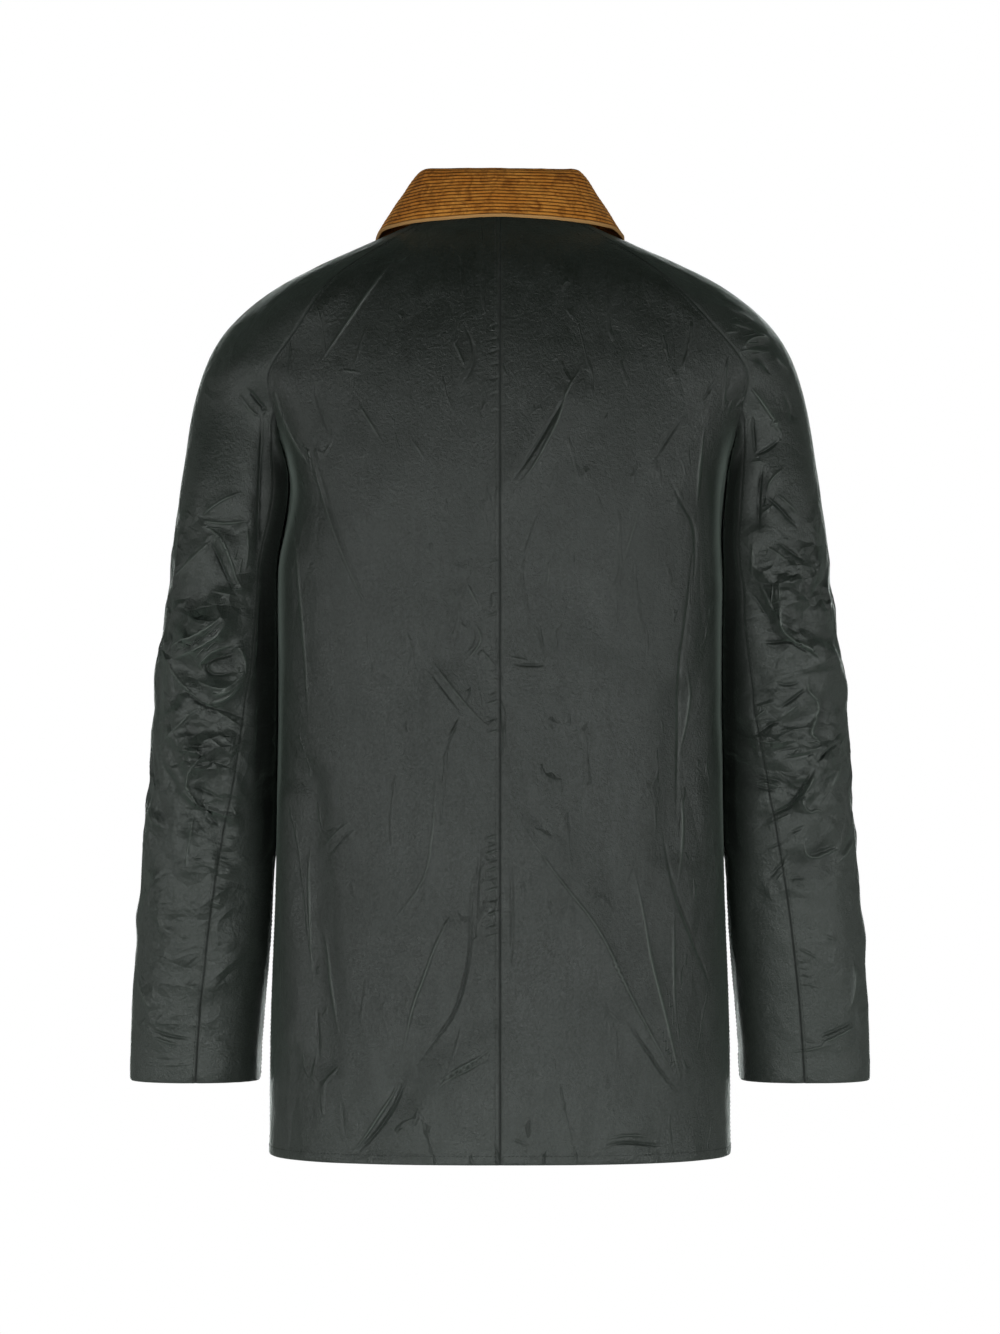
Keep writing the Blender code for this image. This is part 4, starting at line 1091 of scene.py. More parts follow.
def crumple_share(points, on_sleeve):
    """How crumpled the cloth is: strongly on the sleeves about the elbow, faintly on the body."""
    x, _, height = points.T
    sleeve_share = 0.16 + 0.24 * within(height, *SLEEVE_HEIGHTS) + 0.95 * within(height, *ELBOW_HEIGHTS)
    waist = np.exp(-(((height - WAIST_HEIGHT) / 90) ** 2)) * np.exp(-((x / 80) ** 2))
    hem = eased(height, 90, 0)
    side = eased(np.abs(x), BODY_SIDE, 180)
    body_share = 0.15 + 0.22 * waist + 0.28 * hem + 0.18 * side
    return np.where(on_sleeve, sleeve_share, body_share)


def crumple_heights(points, on_sleeve):
    """The small uneven crumple of the cloth that its net can carry."""
    share = crumple_share(points, on_sleeve) * np.where(on_sleeve, *CRUMPLE_GAIN)
    warp = np.stack([noise_at(points, WARP_SIZE, seed) for seed in (11.3, 27.7, 43.1)], axis=1)
    warped = points + warp * WARP
    large = ridged(warped, 30, 5.1, (1, 1, 0.8)) * 2.4
    medium = ridged(warped, 17, 15.9, (1, 1, 0.75)) * 1.3
    soft = noise_at(points, 85, 71.0, (1, 1, 0.45)) * 1.6
    return share * (large + medium) + SWELL * soft


SLEEVE_CLOSE, BODY_CLOSE = 236, 154  # how far from the middle each is near enough to the other to touch it
CLOSE_SOFT = 28
BELOW_ARMHOLE = (620, 590)


def towards_neighbour(points, normals, on_sleeve):
    """How much of a point's outward rise would press a sleeve and the body together, from 0 to 1."""
    side = np.where(points[:, 0] > 0, 1.0, -1.0)
    inner = normals[:, 0] * side * np.where(on_sleeve, -1, 1)
    across = np.abs(points[:, 0])
    close = soft_step(np.where(on_sleeve, SLEEVE_CLOSE - across, across - BODY_CLOSE) / CLOSE_SOFT)
    return soft_step(inner * 2.0) * close * eased(points[:, 2], *BELOW_ARMHOLE)


FLANK_REACH = 24.0  # painted light: the body's side beside the sleeve is painted paler, over this reach
NOOK_REACH = {"sleeve": 46.0, "body": 3.4}  # how near each is to the other where its cloth is painted in deep shade
NOOK_CLOSED = (236, 262)  # heights over which the sleeve comes to rest on the body
NOOK_CLEAR = 0.6  # the gap that is left there
NOOK_MOST = 4.5  # how far the sleeve moves at most
NOOK_GAPS = (11, 7)  # it starts to move at the wider gap and moves fully at the narrower
NOOK_LOW, NOOK_HIGH = (130, 280), (480, 390)  # heights over which the painted shade reaches farther
NOOK_HEIGHTS = (40, 280, 550, 600)
FLANK_START = 2.0
FLANK_HEIGHTS = (90, 270)
UNDERARM_HEIGHT = 596


def neighbour_distances(skin, on_sleeve):
    """How far each point of a sleeve is from the body, and each point of the body from a sleeve."""
    is_sleeve = np.char.startswith(skin.pieces, "sleeve")
    places = skin.points.tolist()
    away = np.full(len(places), FAR)
    for mine, faces, reach in (
        (on_sleeve, skin.faces[~is_sleeve], NOOK_REACH["sleeve"]),
        (~on_sleeve, skin.faces[is_sleeve], FLANK_REACH + FLANK_START),
    ):
        tree = BVHTree.FromPolygons(places, faces.tolist())
        low = mine & (skin.points[:, 2] < UNDERARM_HEIGHT) & (np.abs(skin.points[:, 0]) > BODY_SIDE)
        for number in np.nonzero(low)[0]:
            near = tree.find_nearest(places[number], reach)
            if near[0] is not None:
                away[number] = near[3]
    return away


def dress(skin):
    """The heights of everything that shapes each piece, how much painted shade and painted light each point
    has, and how crumpled it is.
    """
    on_sleeve = sleeve_points(skin.points, skin.faces, skin.pieces)
    height = skin.points[:, 2]
    raised, lines = crease_heights(skin.points, skin.normals, on_sleeve)
    outward = skin.normals[:, 0] * np.sign(skin.points[:, 0])
    calm = 1 - OUTER_CALM * eased(outward, *OUTER) * on_sleeve
    total = raised + crumple_heights(skin.points, on_sleeve) * calm
    pressed = towards_neighbour(skin.points, skin.normals, on_sleeve)
    total = total * (1 - pressed) + np.minimum(total * 0.5, 0) * pressed
    away = neighbour_distances(skin, on_sleeve)
    closed = eased(height, *NOOK_CLOSED) * soft_step(pressed * 2) * on_sleeve
    gap = np.clip(away - NOOK_CLEAR, 0, NOOK_MOST) * (away < 40)
    total += closed * (gap - np.minimum(total, 0)) * eased(away, *NOOK_GAPS)
    above = within(height, *NOOK_HEIGHTS)
    reach = np.where(on_sleeve, NOOK_REACH["sleeve"], NOOK_REACH["body"])
    reach = reach * (0.3 + 0.7 * eased(height, *NOOK_LOW))
    reach = reach * (0.7 + 0.3 * eased(height, *NOOK_HIGH))
    share = crumple_share(skin.points, on_sleeve) * (1 - 0.7 * pressed)
    # painted light on the body's side where it lies beside a sleeve
    flank_light = soft_step(1 - (away - FLANK_START) / FLANK_REACH) * above * ~on_sleeve
    shares = {
        "nook_shade": soft_step(1.1 * (1 - away / reach)) ** 1.35 * above,
        "flank_light": flank_light * eased(height, *FLANK_HEIGHTS),
        "arm": share * on_sleeve,
        "trunk": share * ~on_sleeve,
    }
    for name, nearest in lines.items():
        shares[name + "_away"] = nearest[1]
        shares[name + "_depth"] = nearest[2] * (1 - pressed)
    return total, shares


def shape_panel(skin, name, heights):
    """One piece's own faces and points, the skin's points with its own raised, and its shares."""
    own = skin.faces[skin.pieces == name]
    used = np.unique(own)
    places = skin.points[used]
    rise = heights[used].copy()
    any_seam, lap_seam, free = [], [], []
    for (one, two), rows in skin.edges.items():
        if one != name:
            continue
        line = skin.edge_points(rows)
        if two is None:
            line = line[line[:, 2] < NECK_TOP]
            free.append(line)
            continue
        any_seam.append(line)
        if (one, two) in STITCHED:
            lap_seam.append((line, STITCHED[one, two]))
    seam_away = away_from(places, np.concatenate(any_seam))
    free_away = away_from(places, np.concatenate(free) if free else [])
    edge_away = np.minimum(seam_away, free_away)
    least, reach = CALM_AT_SEAM
    calm = least + (1 - least) * soft_step(seam_away / reach)
    least, reach = CALM_AT_EDGE
    calm *= least + (1 - least) * soft_step(free_away / reach)
    rise *= calm
    pucker, size, reach = PUCKER
    rise += pucker * lumps(places, size) * np.exp(-((edge_away / reach) ** 2))
    depth, width = GROOVE
    rise -= depth * np.exp(-((seam_away / width) ** 2))
    dip, spread = STITCH_DIP
    for line, stitch in lap_seam:
        away = away_from(places, line)
        rise += LAP_RISE * soft_step((stitch + LAP_BEYOND - away) / LAP_SOFT)
        rise -= dip * np.exp(-(((away - stitch) / spread) ** 2))
    is_sleeve = name.startswith("sleeve")
    proud, soft = TURNED_EDGE
    rise += proud * soft_step(((CUFF_TURN if is_sleeve else HEM_TURN) - free_away) / (2 * soft) + 0.5)
    if not is_sleeve:
        rise -= HEM_DIP * dip * np.exp(-(((free_away - HEM_STITCH) / spread) ** 2))
    drop, reach = EDGE_ROUND
    rise -= drop * (1 - np.clip(free_away / reach, 0, 1)) ** 2
    outer = skin.points.copy()
    outer[used] += skin.normals[used] * rise[:, None]
    shares = {
        "worn": np.exp(-edge_away / WORN_REACH),
        "lifted": rise,
        "seamed": np.exp(-((seam_away / SEAM_SHADE) ** 2)),
    }
    return own, used, outer, shares


def edge_moves(skin, name):
    """How each point on a piece's own edge moves out of the piece, to take its share of the overlap."""
    demands = {}
    for (one, _), rows in skin.edges.items():
        if one != name:
            continue
        for first, second in rows:
            along = skin.points[second] - skin.points[first]
            inward = unit(np.cross(skin.normals[first] + skin.normals[second], along))
            demands.setdefault(first, []).append(inward)
            demands.setdefault(second, []).append(inward)
    moves = {}
    for corner, inward in demands.items():
        gaps = np.full(len(inward), -SEAM_OVERLAP / 2)
        moves[corner] = np.linalg.lstsq(np.array(inward), gaps, rcond=0.3)[0]
    return moves


ZIP_EASE = 34.0  # the front's net is drawn back from the zip over this width


def clear_of_zip(skin, name, outer, used):
    """A front's points, drawn back from the centre to leave the zip's width open."""
    side = 1 if name.endswith("left") else -1
    x = np.abs(outer[used, 0])
    share = np.clip(1 - x / ZIP_EASE, 0, 1) * (outer[used, 1] < 0)
    across = np.array([side, 0.0, 0.0])
    normal = skin.normals[used]
    along = unit(across - normal * (normal @ across)[:, None])
    outer[used] += along * (share * ZIP_REVEAL / 2)[:, None]
    return outer


def placed(points):
    """Points in the jacket's sizes, in metres from its origin."""
    return (np.asarray(points) - [0, 0, HELD_HEIGHT]) * METRES


CLOTH_SHARP = 75  # degrees between two faces of cloth whose shading is kept apart


def new_mesh_object(name, points, faces, attributes=()):
    mesh = bpy.data.meshes.new(name)
    mesh.from_pydata(np.asarray(points).tolist(), [], [tuple(face) for face in faces])
    for key, values in dict(attributes).items():
        layer = mesh.attributes.new(key, "FLOAT", "POINT")
        layer.data.foreach_set("value", np.asarray(values, np.float32))
    mesh.shade_smooth()
    return add_object(name, mesh)


def sharpen(mesh, rim):
    """Keeps the shading of a face and of its rim apart."""
    ends = np.empty(len(mesh.edges) * 2, np.int64)
    mesh.edges.foreach_get("vertices", ends)
    keys = np.sort(ends.reshape(-1, 2), axis=1) @ [len(mesh.vertices), 1]
    wanted = np.sort(np.array(rim, np.int64), axis=1) @ [len(mesh.vertices), 1]
    layer = mesh.attributes.get("sharp_edge") or mesh.attributes.new("sharp_edge", "BOOLEAN", "EDGE")
    sharp = np.empty(len(mesh.edges), bool)
    layer.data.foreach_get("value", sharp)
    layer.data.foreach_set("value", sharp | np.isin(keys, wanted))


def make_panel(skin, name, heights, shares):
    """One piece of the pattern as a thin closed shell, with its outer face's tree and area."""
    own, used, outer, own_shares = shape_panel(skin, name, heights)
    for corner, move in edge_moves(skin, name).items():
        outer[corner] += move
    if name.startswith("front"):
        outer = clear_of_zip(skin, name, outer, used)
    numbers = np.full(len(outer), -1)
    numbers[used] = np.arange(len(used))
    inner = outer[used] - skin.normals[used] * CLOTH_THICKNESS
    count = len(used)
    top = numbers[own]
    faces = np.concatenate([top, (top + count)[:, ::-1]])
    rim = []
    for (one, _), rows in skin.edges.items():
        if one == name:
            for a, b in numbers[rows]:
                rim.append((b, a, a + count, b + count))
    faces = np.concatenate([faces, np.array(rim)])
    points = placed(np.concatenate([outer[used], inner]))
    attributes = {key: np.tile(share, 2) for key, share in own_shares.items()}
    attributes["inside"] = np.repeat([0.0, 1.0], count)
    attributes.update({key: np.tile(share[used], 2) for key, share in shares.items()})
    thing = new_mesh_object("cloth_" + name, points, faces, attributes)
    thing.data.set_sharp_from_angle(angle=math.radians(CLOTH_SHARP))
    sharpen(thing.data, [(a, b) for b, a, _, _ in rim])
    tree = BVHTree.FromPolygons(outer[used].tolist(), top.tolist())
    return thing, tree, area_of(outer, own)


# --- stitches ------------------------------------------------------------------------------------------

STITCH_PITCH = 3.4
STITCH_LENGTH = 2.5
STITCH_AIM = 2.5  # how far before and behind it a stitch takes its direction from
STITCH_OFF = 6  # a stitch that would land farther than this from its piece is left out
THREAD_RADIUS = 0.3
THREAD_SIDES = 5
# The rings of a stitch: how far along it, how thick, and how high above the cloth.
THREAD_RINGS = [(-0.5, 0.45, -0.35), (-0.22, 1.0, 0.35), (0.22, 1.0, 0.35), (0.5, 0.45, -0.35)]


def chains_of(rows):
    """Edges joined end to end, each chain as its points' numbers."""
    after = dict(rows)
    starts = set(after) - set(after.values())
    chains = []
    while after:
        chain = [starts.pop() if starts else next(iter(after))]
        while chain[-1] in after:
            chain.append(after.pop(chain[-1]))
        chains.append(chain)
    return chains


def stitch_places(skin, rows, tree, offset):
    """Where the stitches beside a seam lie: the place, the direction and the outward direction of each."""
    found = []
    for chain in chains_of(rows):
        line = skin.points[chain]
        reached = distances_along(line)
        for at in np.arange(STITCH_PITCH, reached[-1] - STITCH_PITCH / 2, STITCH_PITCH):
            point = between(reached, line, at)
            back, ahead = max(at - STITCH_AIM, 0), min(at + STITCH_AIM, reached[-1])
            normal = unit(between(reached, skin.normals[chain], at))
            along = unit(between(reached, line, ahead) - between(reached, line, back))
            inward = unit(np.cross(normal, along))
            place, facing, _, away = tree.find_nearest(Vector(point + inward * offset))
            if place is None or away > STITCH_OFF:
                continue
            facing = np.array(facing)
            if facing @ normal < 0:
                facing = -facing
            along = unit(along - facing * (along @ facing))
            found.append((np.array(place), along, facing))
    return found


def thread_mesh(places):
    """Small rounded stitches at some places, as points and faces."""
    rings = np.array(THREAD_RINGS) * [STITCH_LENGTH, THREAD_RADIUS, THREAD_RADIUS]
    turns = np.linspace(0, 2 * math.pi, THREAD_SIDES, endpoint=False)
    points, faces = [], []
    for place, along, facing in places:
        aside = np.cross(facing, along)
        start = len(points)
        for at, size, rise in rings:
            for turn in turns:
                up = rise + size * math.sin(turn)
                points.append(place + along * at + facing * up + aside * size * math.cos(turn))
        last = start + (len(rings) - 1) * THREAD_SIDES
        for ring in range(start, last, THREAD_SIDES):
            for side in range(THREAD_SIDES):
                a, b = ring + side, ring + (side + 1) % THREAD_SIDES
                faces.append((a, b, b + THREAD_SIDES, a + THREAD_SIDES))
        faces.append(tuple(range(start + THREAD_SIDES - 1, start - 1, -1)))
        faces.append(tuple(range(last, last + THREAD_SIDES)))
    return points, faces


# --- the collar ----------------------------------------------------------------------------------------

COLLAR_FINE_COLUMNS = 210
STAND_WALES = 13
FOLD_WALES = 4
FALL_WALES = 14
# Each pair is a share of the way across a wale or the edge, and the height there.
WALE = ((0.0, 0.0), (0.16, 0.72), (0.36, 1.0), (0.64, 1.0), (0.84, 0.72))
WALE_HEIGHT = 0.55
COLLAR_EDGE = 2.4  # width of the plain turned edge
EDGE_SHAPE = ((1.0, 0.0), (0.78, 0.8), (0.5, 1.05), (0.25, 0.8), (0.1, 0.25), (0.0, -0.4))
COLLAR_THICKNESS = 2.4
PRESS_WIDTH, PRESS_RISE = 9.0, 1.2  # the fold is pressed up
CORNER_AT, CORNER_WIDTH = 60.0, 8.0  # where the fold turns sharply at each side
CORNER_RISE, CORNER_SPREAD = 0.9, 1.5
COLLAR_SWAY = ((0.045, 3.3, 0.9), (0.14, 8.1, 0.35))  # of the wales: pace, seed and reach
COLLAR_LUMPS = ((26, 0, 0.7), (9, 9, 0.22))  # size, seed and height
NAP_SIZE, NAP_SHARE = 1.9, 0.12
EDGE_STARTS = 0.95  # share of the edge's width that is plain
UNDER_PILE = 0.7  # how high the pile of the underside seems


def hermite(values, places, wanted):
    """Rows of values at places, on a smooth curve through all of them, at the wanted places."""
    places = np.asarray(places, float)
    shape = (-1, *[1] * (values.ndim - 1))
    spans = np.diff(places).reshape(shape)
    steps = np.diff(values, axis=0) / spans
    slopes = np.empty_like(values)
    slopes[0], slopes[-1] = steps[0], steps[-1]
    before, after = spans[:-1], spans[1:]
    slopes[1:-1] = (steps[:-1] * after + steps[1:] * before) / (before + after)
    index = np.clip(np.searchsorted(places, wanted, side="right") - 1, 0, len(spans) - 1)
    span = spans[index]
    step = (wanted - places[index]).reshape(shape) / span
    return (
        (1 + 2 * step) * (1 - step) ** 2 * values[index]
        + step * (1 - step) ** 2 * slopes[index] * span
        + step**2 * (3 - 2 * step) * values[index + 1]
        - step**2 * (1 - step) * slopes[index + 1] * span
    )


def coarse_collar(points, faces):
    """The collar's middle sheet as its solid has it: rows up the stand, over the fold and down the fall."""
    last = COLLAR_LINES[-1].angle
    sections = [collar_section(angle) for angle in np.linspace(-last, last, COLLAR_COLUMNS + 1)]
    rows = len(sections[0])
    first_on_fall = rows - len(FALL_ROWS) - 1
    skin = BVHTree.FromPolygons(points.tolist(), faces.tolist())
    sheet = []
    for row in range(rows):
        for section in sections:
            point = Vector(section[row])
            if row >= first_on_fall:
                near, normal, _, _ = skin.find_nearest(point)
                if (point - near).dot(normal) < COLLAR_LIFT:
                    point = near + normal * COLLAR_LIFT
            sheet.append(np.array(point))
    return np.array(sheet).reshape(rows, len(sections), 3)


def make_collar(points, faces):
    """The corduroy collar, with its wales as rows of low ribs."""
    coarse = coarse_collar(points, faces)
    columns = coarse.shape[1]
    across = hermite(
        coarse.transpose(1, 0, 2), np.arange(columns), np.linspace(0, columns - 1, COLLAR_FINE_COLUMNS)
    ).transpose(1, 0, 2)
    lengths = np.linalg.norm(np.diff(across, axis=0), axis=2).mean(axis=1)
    reached = np.concatenate([[0], np.cumsum(lengths)])
    fold_start, fold_end, end = reached[2], reached[4], reached[-1]
    lines = []
    for low, high, wales in (
        (0.0, fold_start, STAND_WALES),
        (fold_start, fold_end, FOLD_WALES),
        (fold_end, end - COLLAR_EDGE, FALL_WALES),
    ):
        for wale in range(wales):
            lines += [(low + (high - low) * (wale + phase) / wales, height) for phase, height in WALE]
    lines += [(end - COLLAR_EDGE * back, height) for back, height in EDGE_SHAPE]
    wanted, shape = np.array(lines).T
    sheet = hermite(across, reached, wanted)
    count, wide = sheet.shape[:2]
    x, y = sheet[:, :, 0].copy(), sheet[:, :, 1]
    near_fold = np.exp(-(((wanted - (fold_start + fold_end) / 2) / PRESS_WIDTH) ** 2))[:, None]
    corner = np.exp(-(((np.abs(x) - CORNER_AT) / CORNER_WIDTH) ** 2)) * (y > 0)
    sheet[:, :, 2] += near_fold * (PRESS_RISE + CORNER_RISE * corner)
    sheet[:, :, 0] += near_fold * corner * np.sign(x) * CORNER_SPREAD
    sway = sum(
        np.array([noise.noise(Vector((column * pace, seed, 0))) for column in range(wide)]) * reach
        for pace, seed, reach in COLLAR_SWAY
    )
    middle = np.sin(np.clip((wanted - fold_end) / (end - fold_end), 0, 1) * math.pi)
    down = unit(np.gradient(sheet, axis=0))
    flat = (sheet + down * (middle[:, None] * sway[None, :])[:, :, None]).reshape(-1, 3)
    cells = grid_cells(count, wide)
    normals = normals_of(flat, cells)
    lump = sum(lumps(flat, size, (seed, seed, seed)) * height for size, seed, height in COLLAR_LUMPS)
    nap = lumps(flat, NAP_SIZE, (5, 1, 7))
    ribs = np.repeat(shape, wide)
    half = COLLAR_THICKNESS / 2
    rise = half - WALE_HEIGHT + WALE_HEIGHT * ribs * (1 + NAP_SHARE * nap) + lump
    outer = flat + normals * rise[:, None]
    inner = flat + normals * (lump - half)[:, None]
    total = len(flat)
    under = (cells + total)[:, ::-1]
    border = [
        (np.arange(wide - 1), 1, False),
        ((count - 1) * wide + np.arange(wide - 1), 1, True),
        (np.arange(count - 1) * wide, wide, True),
        (np.arange(count - 1) * wide + wide - 1, wide, False),
    ]
    rim = []
    for first, step, turn in border:
        second = first + step
        quad = [second, first, first + total, second + total]
        rim.append(np.stack(quad[::-1] if turn else quad, axis=1))
    faces = np.concatenate([cells, under, *rim])
    is_edge = wanted > end - COLLAR_EDGE * EDGE_STARTS
    attributes = {
        "pile": np.concatenate([np.clip(ribs, 0, 1), np.full(total, UNDER_PILE)]),
        "edge": np.tile(np.repeat(is_edge.astype(float), wide), 2),
    }
    thing = new_mesh_object("cloth_collar", placed(np.concatenate([outer, inner])), faces, attributes)
    thing.data.set_sharp_from_angle(angle=math.radians(CLOTH_SHARP))
    return thing, area_of(flat, cells)


# --- the zip -------------------------------------------------------------------------------------------

TAPE_EDGE = 1.0  # distance of each tape from the centre front
TAPE_WIDTH = 15.0
TAPE_COLUMNS = 9
TAPE_THICKNESS = 0.7
TAPE_STEP = 3.0
TAPE_DEPTH = CLOTH_WALL + SEAM_GAP  # behind the fronts' outer face
CORD_RISE = 0.55  # the thick edge that carries the teeth
CORD_SHARE = 0.16  # of the tape's width
TOOTH_PITCH = 2.7
TOOTH_FIRST = 4.0
TOOTH_ACROSS = 1.1  # distance of a tooth's middle from the centre front
TOOTH_SIZE = (1.9, 1.15, 1.5)  # half reach across, half height, how far it stands out
SLIDER_BELOW_NECK = 16.0


def zip_path(points, faces):
    """Rows up the solids' centre front: a place, one to the left of it, and both outward directions."""
    normals = normals_of(points, faces)
    on_line = np.nonzero((np.abs(points[:, 0]) < ON_CENTRE) & (points[:, 1] < 0))[0]
    line = sorted(on_line, key=lambda number: points[number][2])
    beside = {}
    members = set(line)
    for face in faces.tolist():
        for first, second in zip(face, face[1:] + face[:1]):
            for near, far in ((first, second), (second, first)):
                if near in members and points[far][0] > ON_CENTRE:
                    beside[near] = far
    left = [beside[number] for number in line]
    return np.concatenate([points[line], points[left], normals[line], normals[left]], axis=1)


def zip_place(rows, reached, at, across, depth):
    """A point at a distance up the zip, across from the centre and behind the cloth's outer face."""
    centre, far, normal, far_normal = between(reached, rows, at).reshape(4, 3)
    share = abs(across) / far[0]
    place = centre + (far - centre) * share
    out = unit(normal + (far_normal - normal) * share)
    flip = np.array([math.copysign(1, across), 1, 1])
    return (place - out * depth) * flip, out * flip


def make_tape(name, side, rows, reached):
    """One tape: thin, with a thick woven edge along the teeth."""
    steps = int(reached[-1] / TAPE_STEP)
    top, bottom = [], []
    for at in np.linspace(0, reached[-1], steps + 1):
        for share in np.linspace(0, 1, TAPE_COLUMNS):
            across = side * (TAPE_EDGE + TAPE_WIDTH * share)
            cord = CORD_RISE * max(1 - share / CORD_SHARE, 0) ** 0.5
            front, out = zip_place(rows, reached, at, across, TAPE_DEPTH)
            top.append(front)
            bottom.append(front - out * (TAPE_THICKNESS + cord))
    wide = TAPE_COLUMNS
    cells = grid_cells(steps + 1, wide)
    if side < 0:
        cells = cells[:, ::-1]
    total = len(top)
    faces = [tuple(cell) for cell in cells] + [tuple((cell + total)[::-1]) for cell in cells]
    ring = list(range(wide)) + [wide * row + wide - 1 for row in range(1, steps + 1)]
    ring += list(range(steps * wide + wide - 2, steps * wide - 1, -1))
    ring += [wide * row for row in range(steps - 1, 0, -1)]
    for first, second in zip(ring, ring[1:] + ring[:1]):
        quad = (second, first, first + total, second + total)
        faces.append(quad if side > 0 else quad[::-1])
    thing = new_mesh_object("cloth_" + name, placed(top + bottom), faces)
    thing.data.set_sharp_from_angle(angle=math.radians(40))
    return thing, TAPE_WIDTH * METRES, reached[-1] * METRES


def make_teeth(rows, reached, top_at):
    """The closed chain of teeth, from the hem up to the slider."""
    points, faces = [], []
    across_half, up_half, stand = TOOTH_SIZE
    # How far out, how wide and how high each ring of a tooth is.
    levels = ((-0.9, 1.0, 1.0), (stand * 0.55, 1.0, 1.0), (stand, 0.8, 0.55))
    for number, at in enumerate(np.arange(TOOTH_FIRST, top_at, TOOTH_PITCH / 2)):
        middle = TOOTH_ACROSS if number % 2 else -TOOTH_ACROSS
        centre, out = zip_place(rows, reached, at, middle, TAPE_DEPTH)
        ahead, _ = zip_place(rows, reached, min(at + 1, reached[-1]), middle, TAPE_DEPTH)
        up = unit(ahead - centre)
        across = unit(np.cross(up, out))
        start = len(points)
        for level, wide, high in levels:
            for sx, sz in ((-1, -1), (1, -1), (1, 1), (-1, 1)):
                aside = across * sx * (across_half * wide)
                points.append(centre + out * level + aside + up * sz * up_half * high * 0.55)
        for ring in (start, start + 4):
            for corner in range(4):
                a, b = ring + corner, ring + (corner + 1) % 4
                faces.append((a, b, b + 4, a + 4))
        faces.append((start + 3, start + 2, start + 1, start))
        faces.append((start + 8, start + 9, start + 10, start + 11))
    mesh = new_mesh_object("zip_teeth", placed(points), faces)
    mesh.data.set_sharp_from_angle(angle=math.radians(30))
    return mesh


def rounded_copy(node, name, width):
    """A finer copy of a hard node, with its edges rounded."""
    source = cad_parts[node]
    mesh = source.data.copy()
    mesh.name = name
    mesh.materials.clear()
    body = bmesh.new()
    body.from_mesh(mesh)
    bmesh.ops.remove_doubles(body, verts=body.verts, dist=1e-6)
    bmesh.ops.dissolve_limit(body, angle_limit=math.radians(4), verts=body.verts, edges=body.edges)
    inner = [edge for edge in body.edges if len(edge.link_faces) == 2]
    sharp = [edge for edge in inner if edge.calc_face_angle() > math.radians(30)]
    bmesh.ops.bevel(
        body, geom=sharp, offset=width * METRES, segments=2, profile=0.6, affect="EDGES", clamp_overlap=True
    )
    body.to_mesh(mesh)
    body.free()
    mesh.shade_smooth()
    mesh.set_sharp_from_angle(angle=math.radians(50))
    return add_object(name, mesh)


# --- materials -----------------------------------------------------------------------------------------


class Tree:
    """A node tree, built a node at a time."""

    def __init__(self, owner):
        owner.use_nodes = True
        self.tree = owner.node_tree

    def put(self, socket, value):
        """Sets a socket to a number or a colour, or links it to another socket."""
        if isinstance(value, (int, float)):
            socket.default_value = value
        elif isinstance(value, tuple):
            socket.default_value = (*value, 1.0) if socket.type == "RGBA" else value
        else:
            self.tree.links.new(value, socket)

    def add(self, kind, inputs, output=None, **settings):
        """A new node with some of its sockets put, by name or number, or the output of it that is named."""
        node = self.tree.nodes.new(kind)
        for key, value in settings.items():
            setattr(node, key, value)
        for key, value in inputs.items():
            self.put(node.inputs[key], value)
        return node.outputs[output] if output else node

    def ramp(self, source, low, high, out_low=0.0, out_high=1.0):
        ends = {"From Min": low, "From Max": high, "To Min": out_low, "To Max": out_high}
        return self.add("ShaderNodeMapRange", ends | {"Value": source}, "Result", clamp=True)


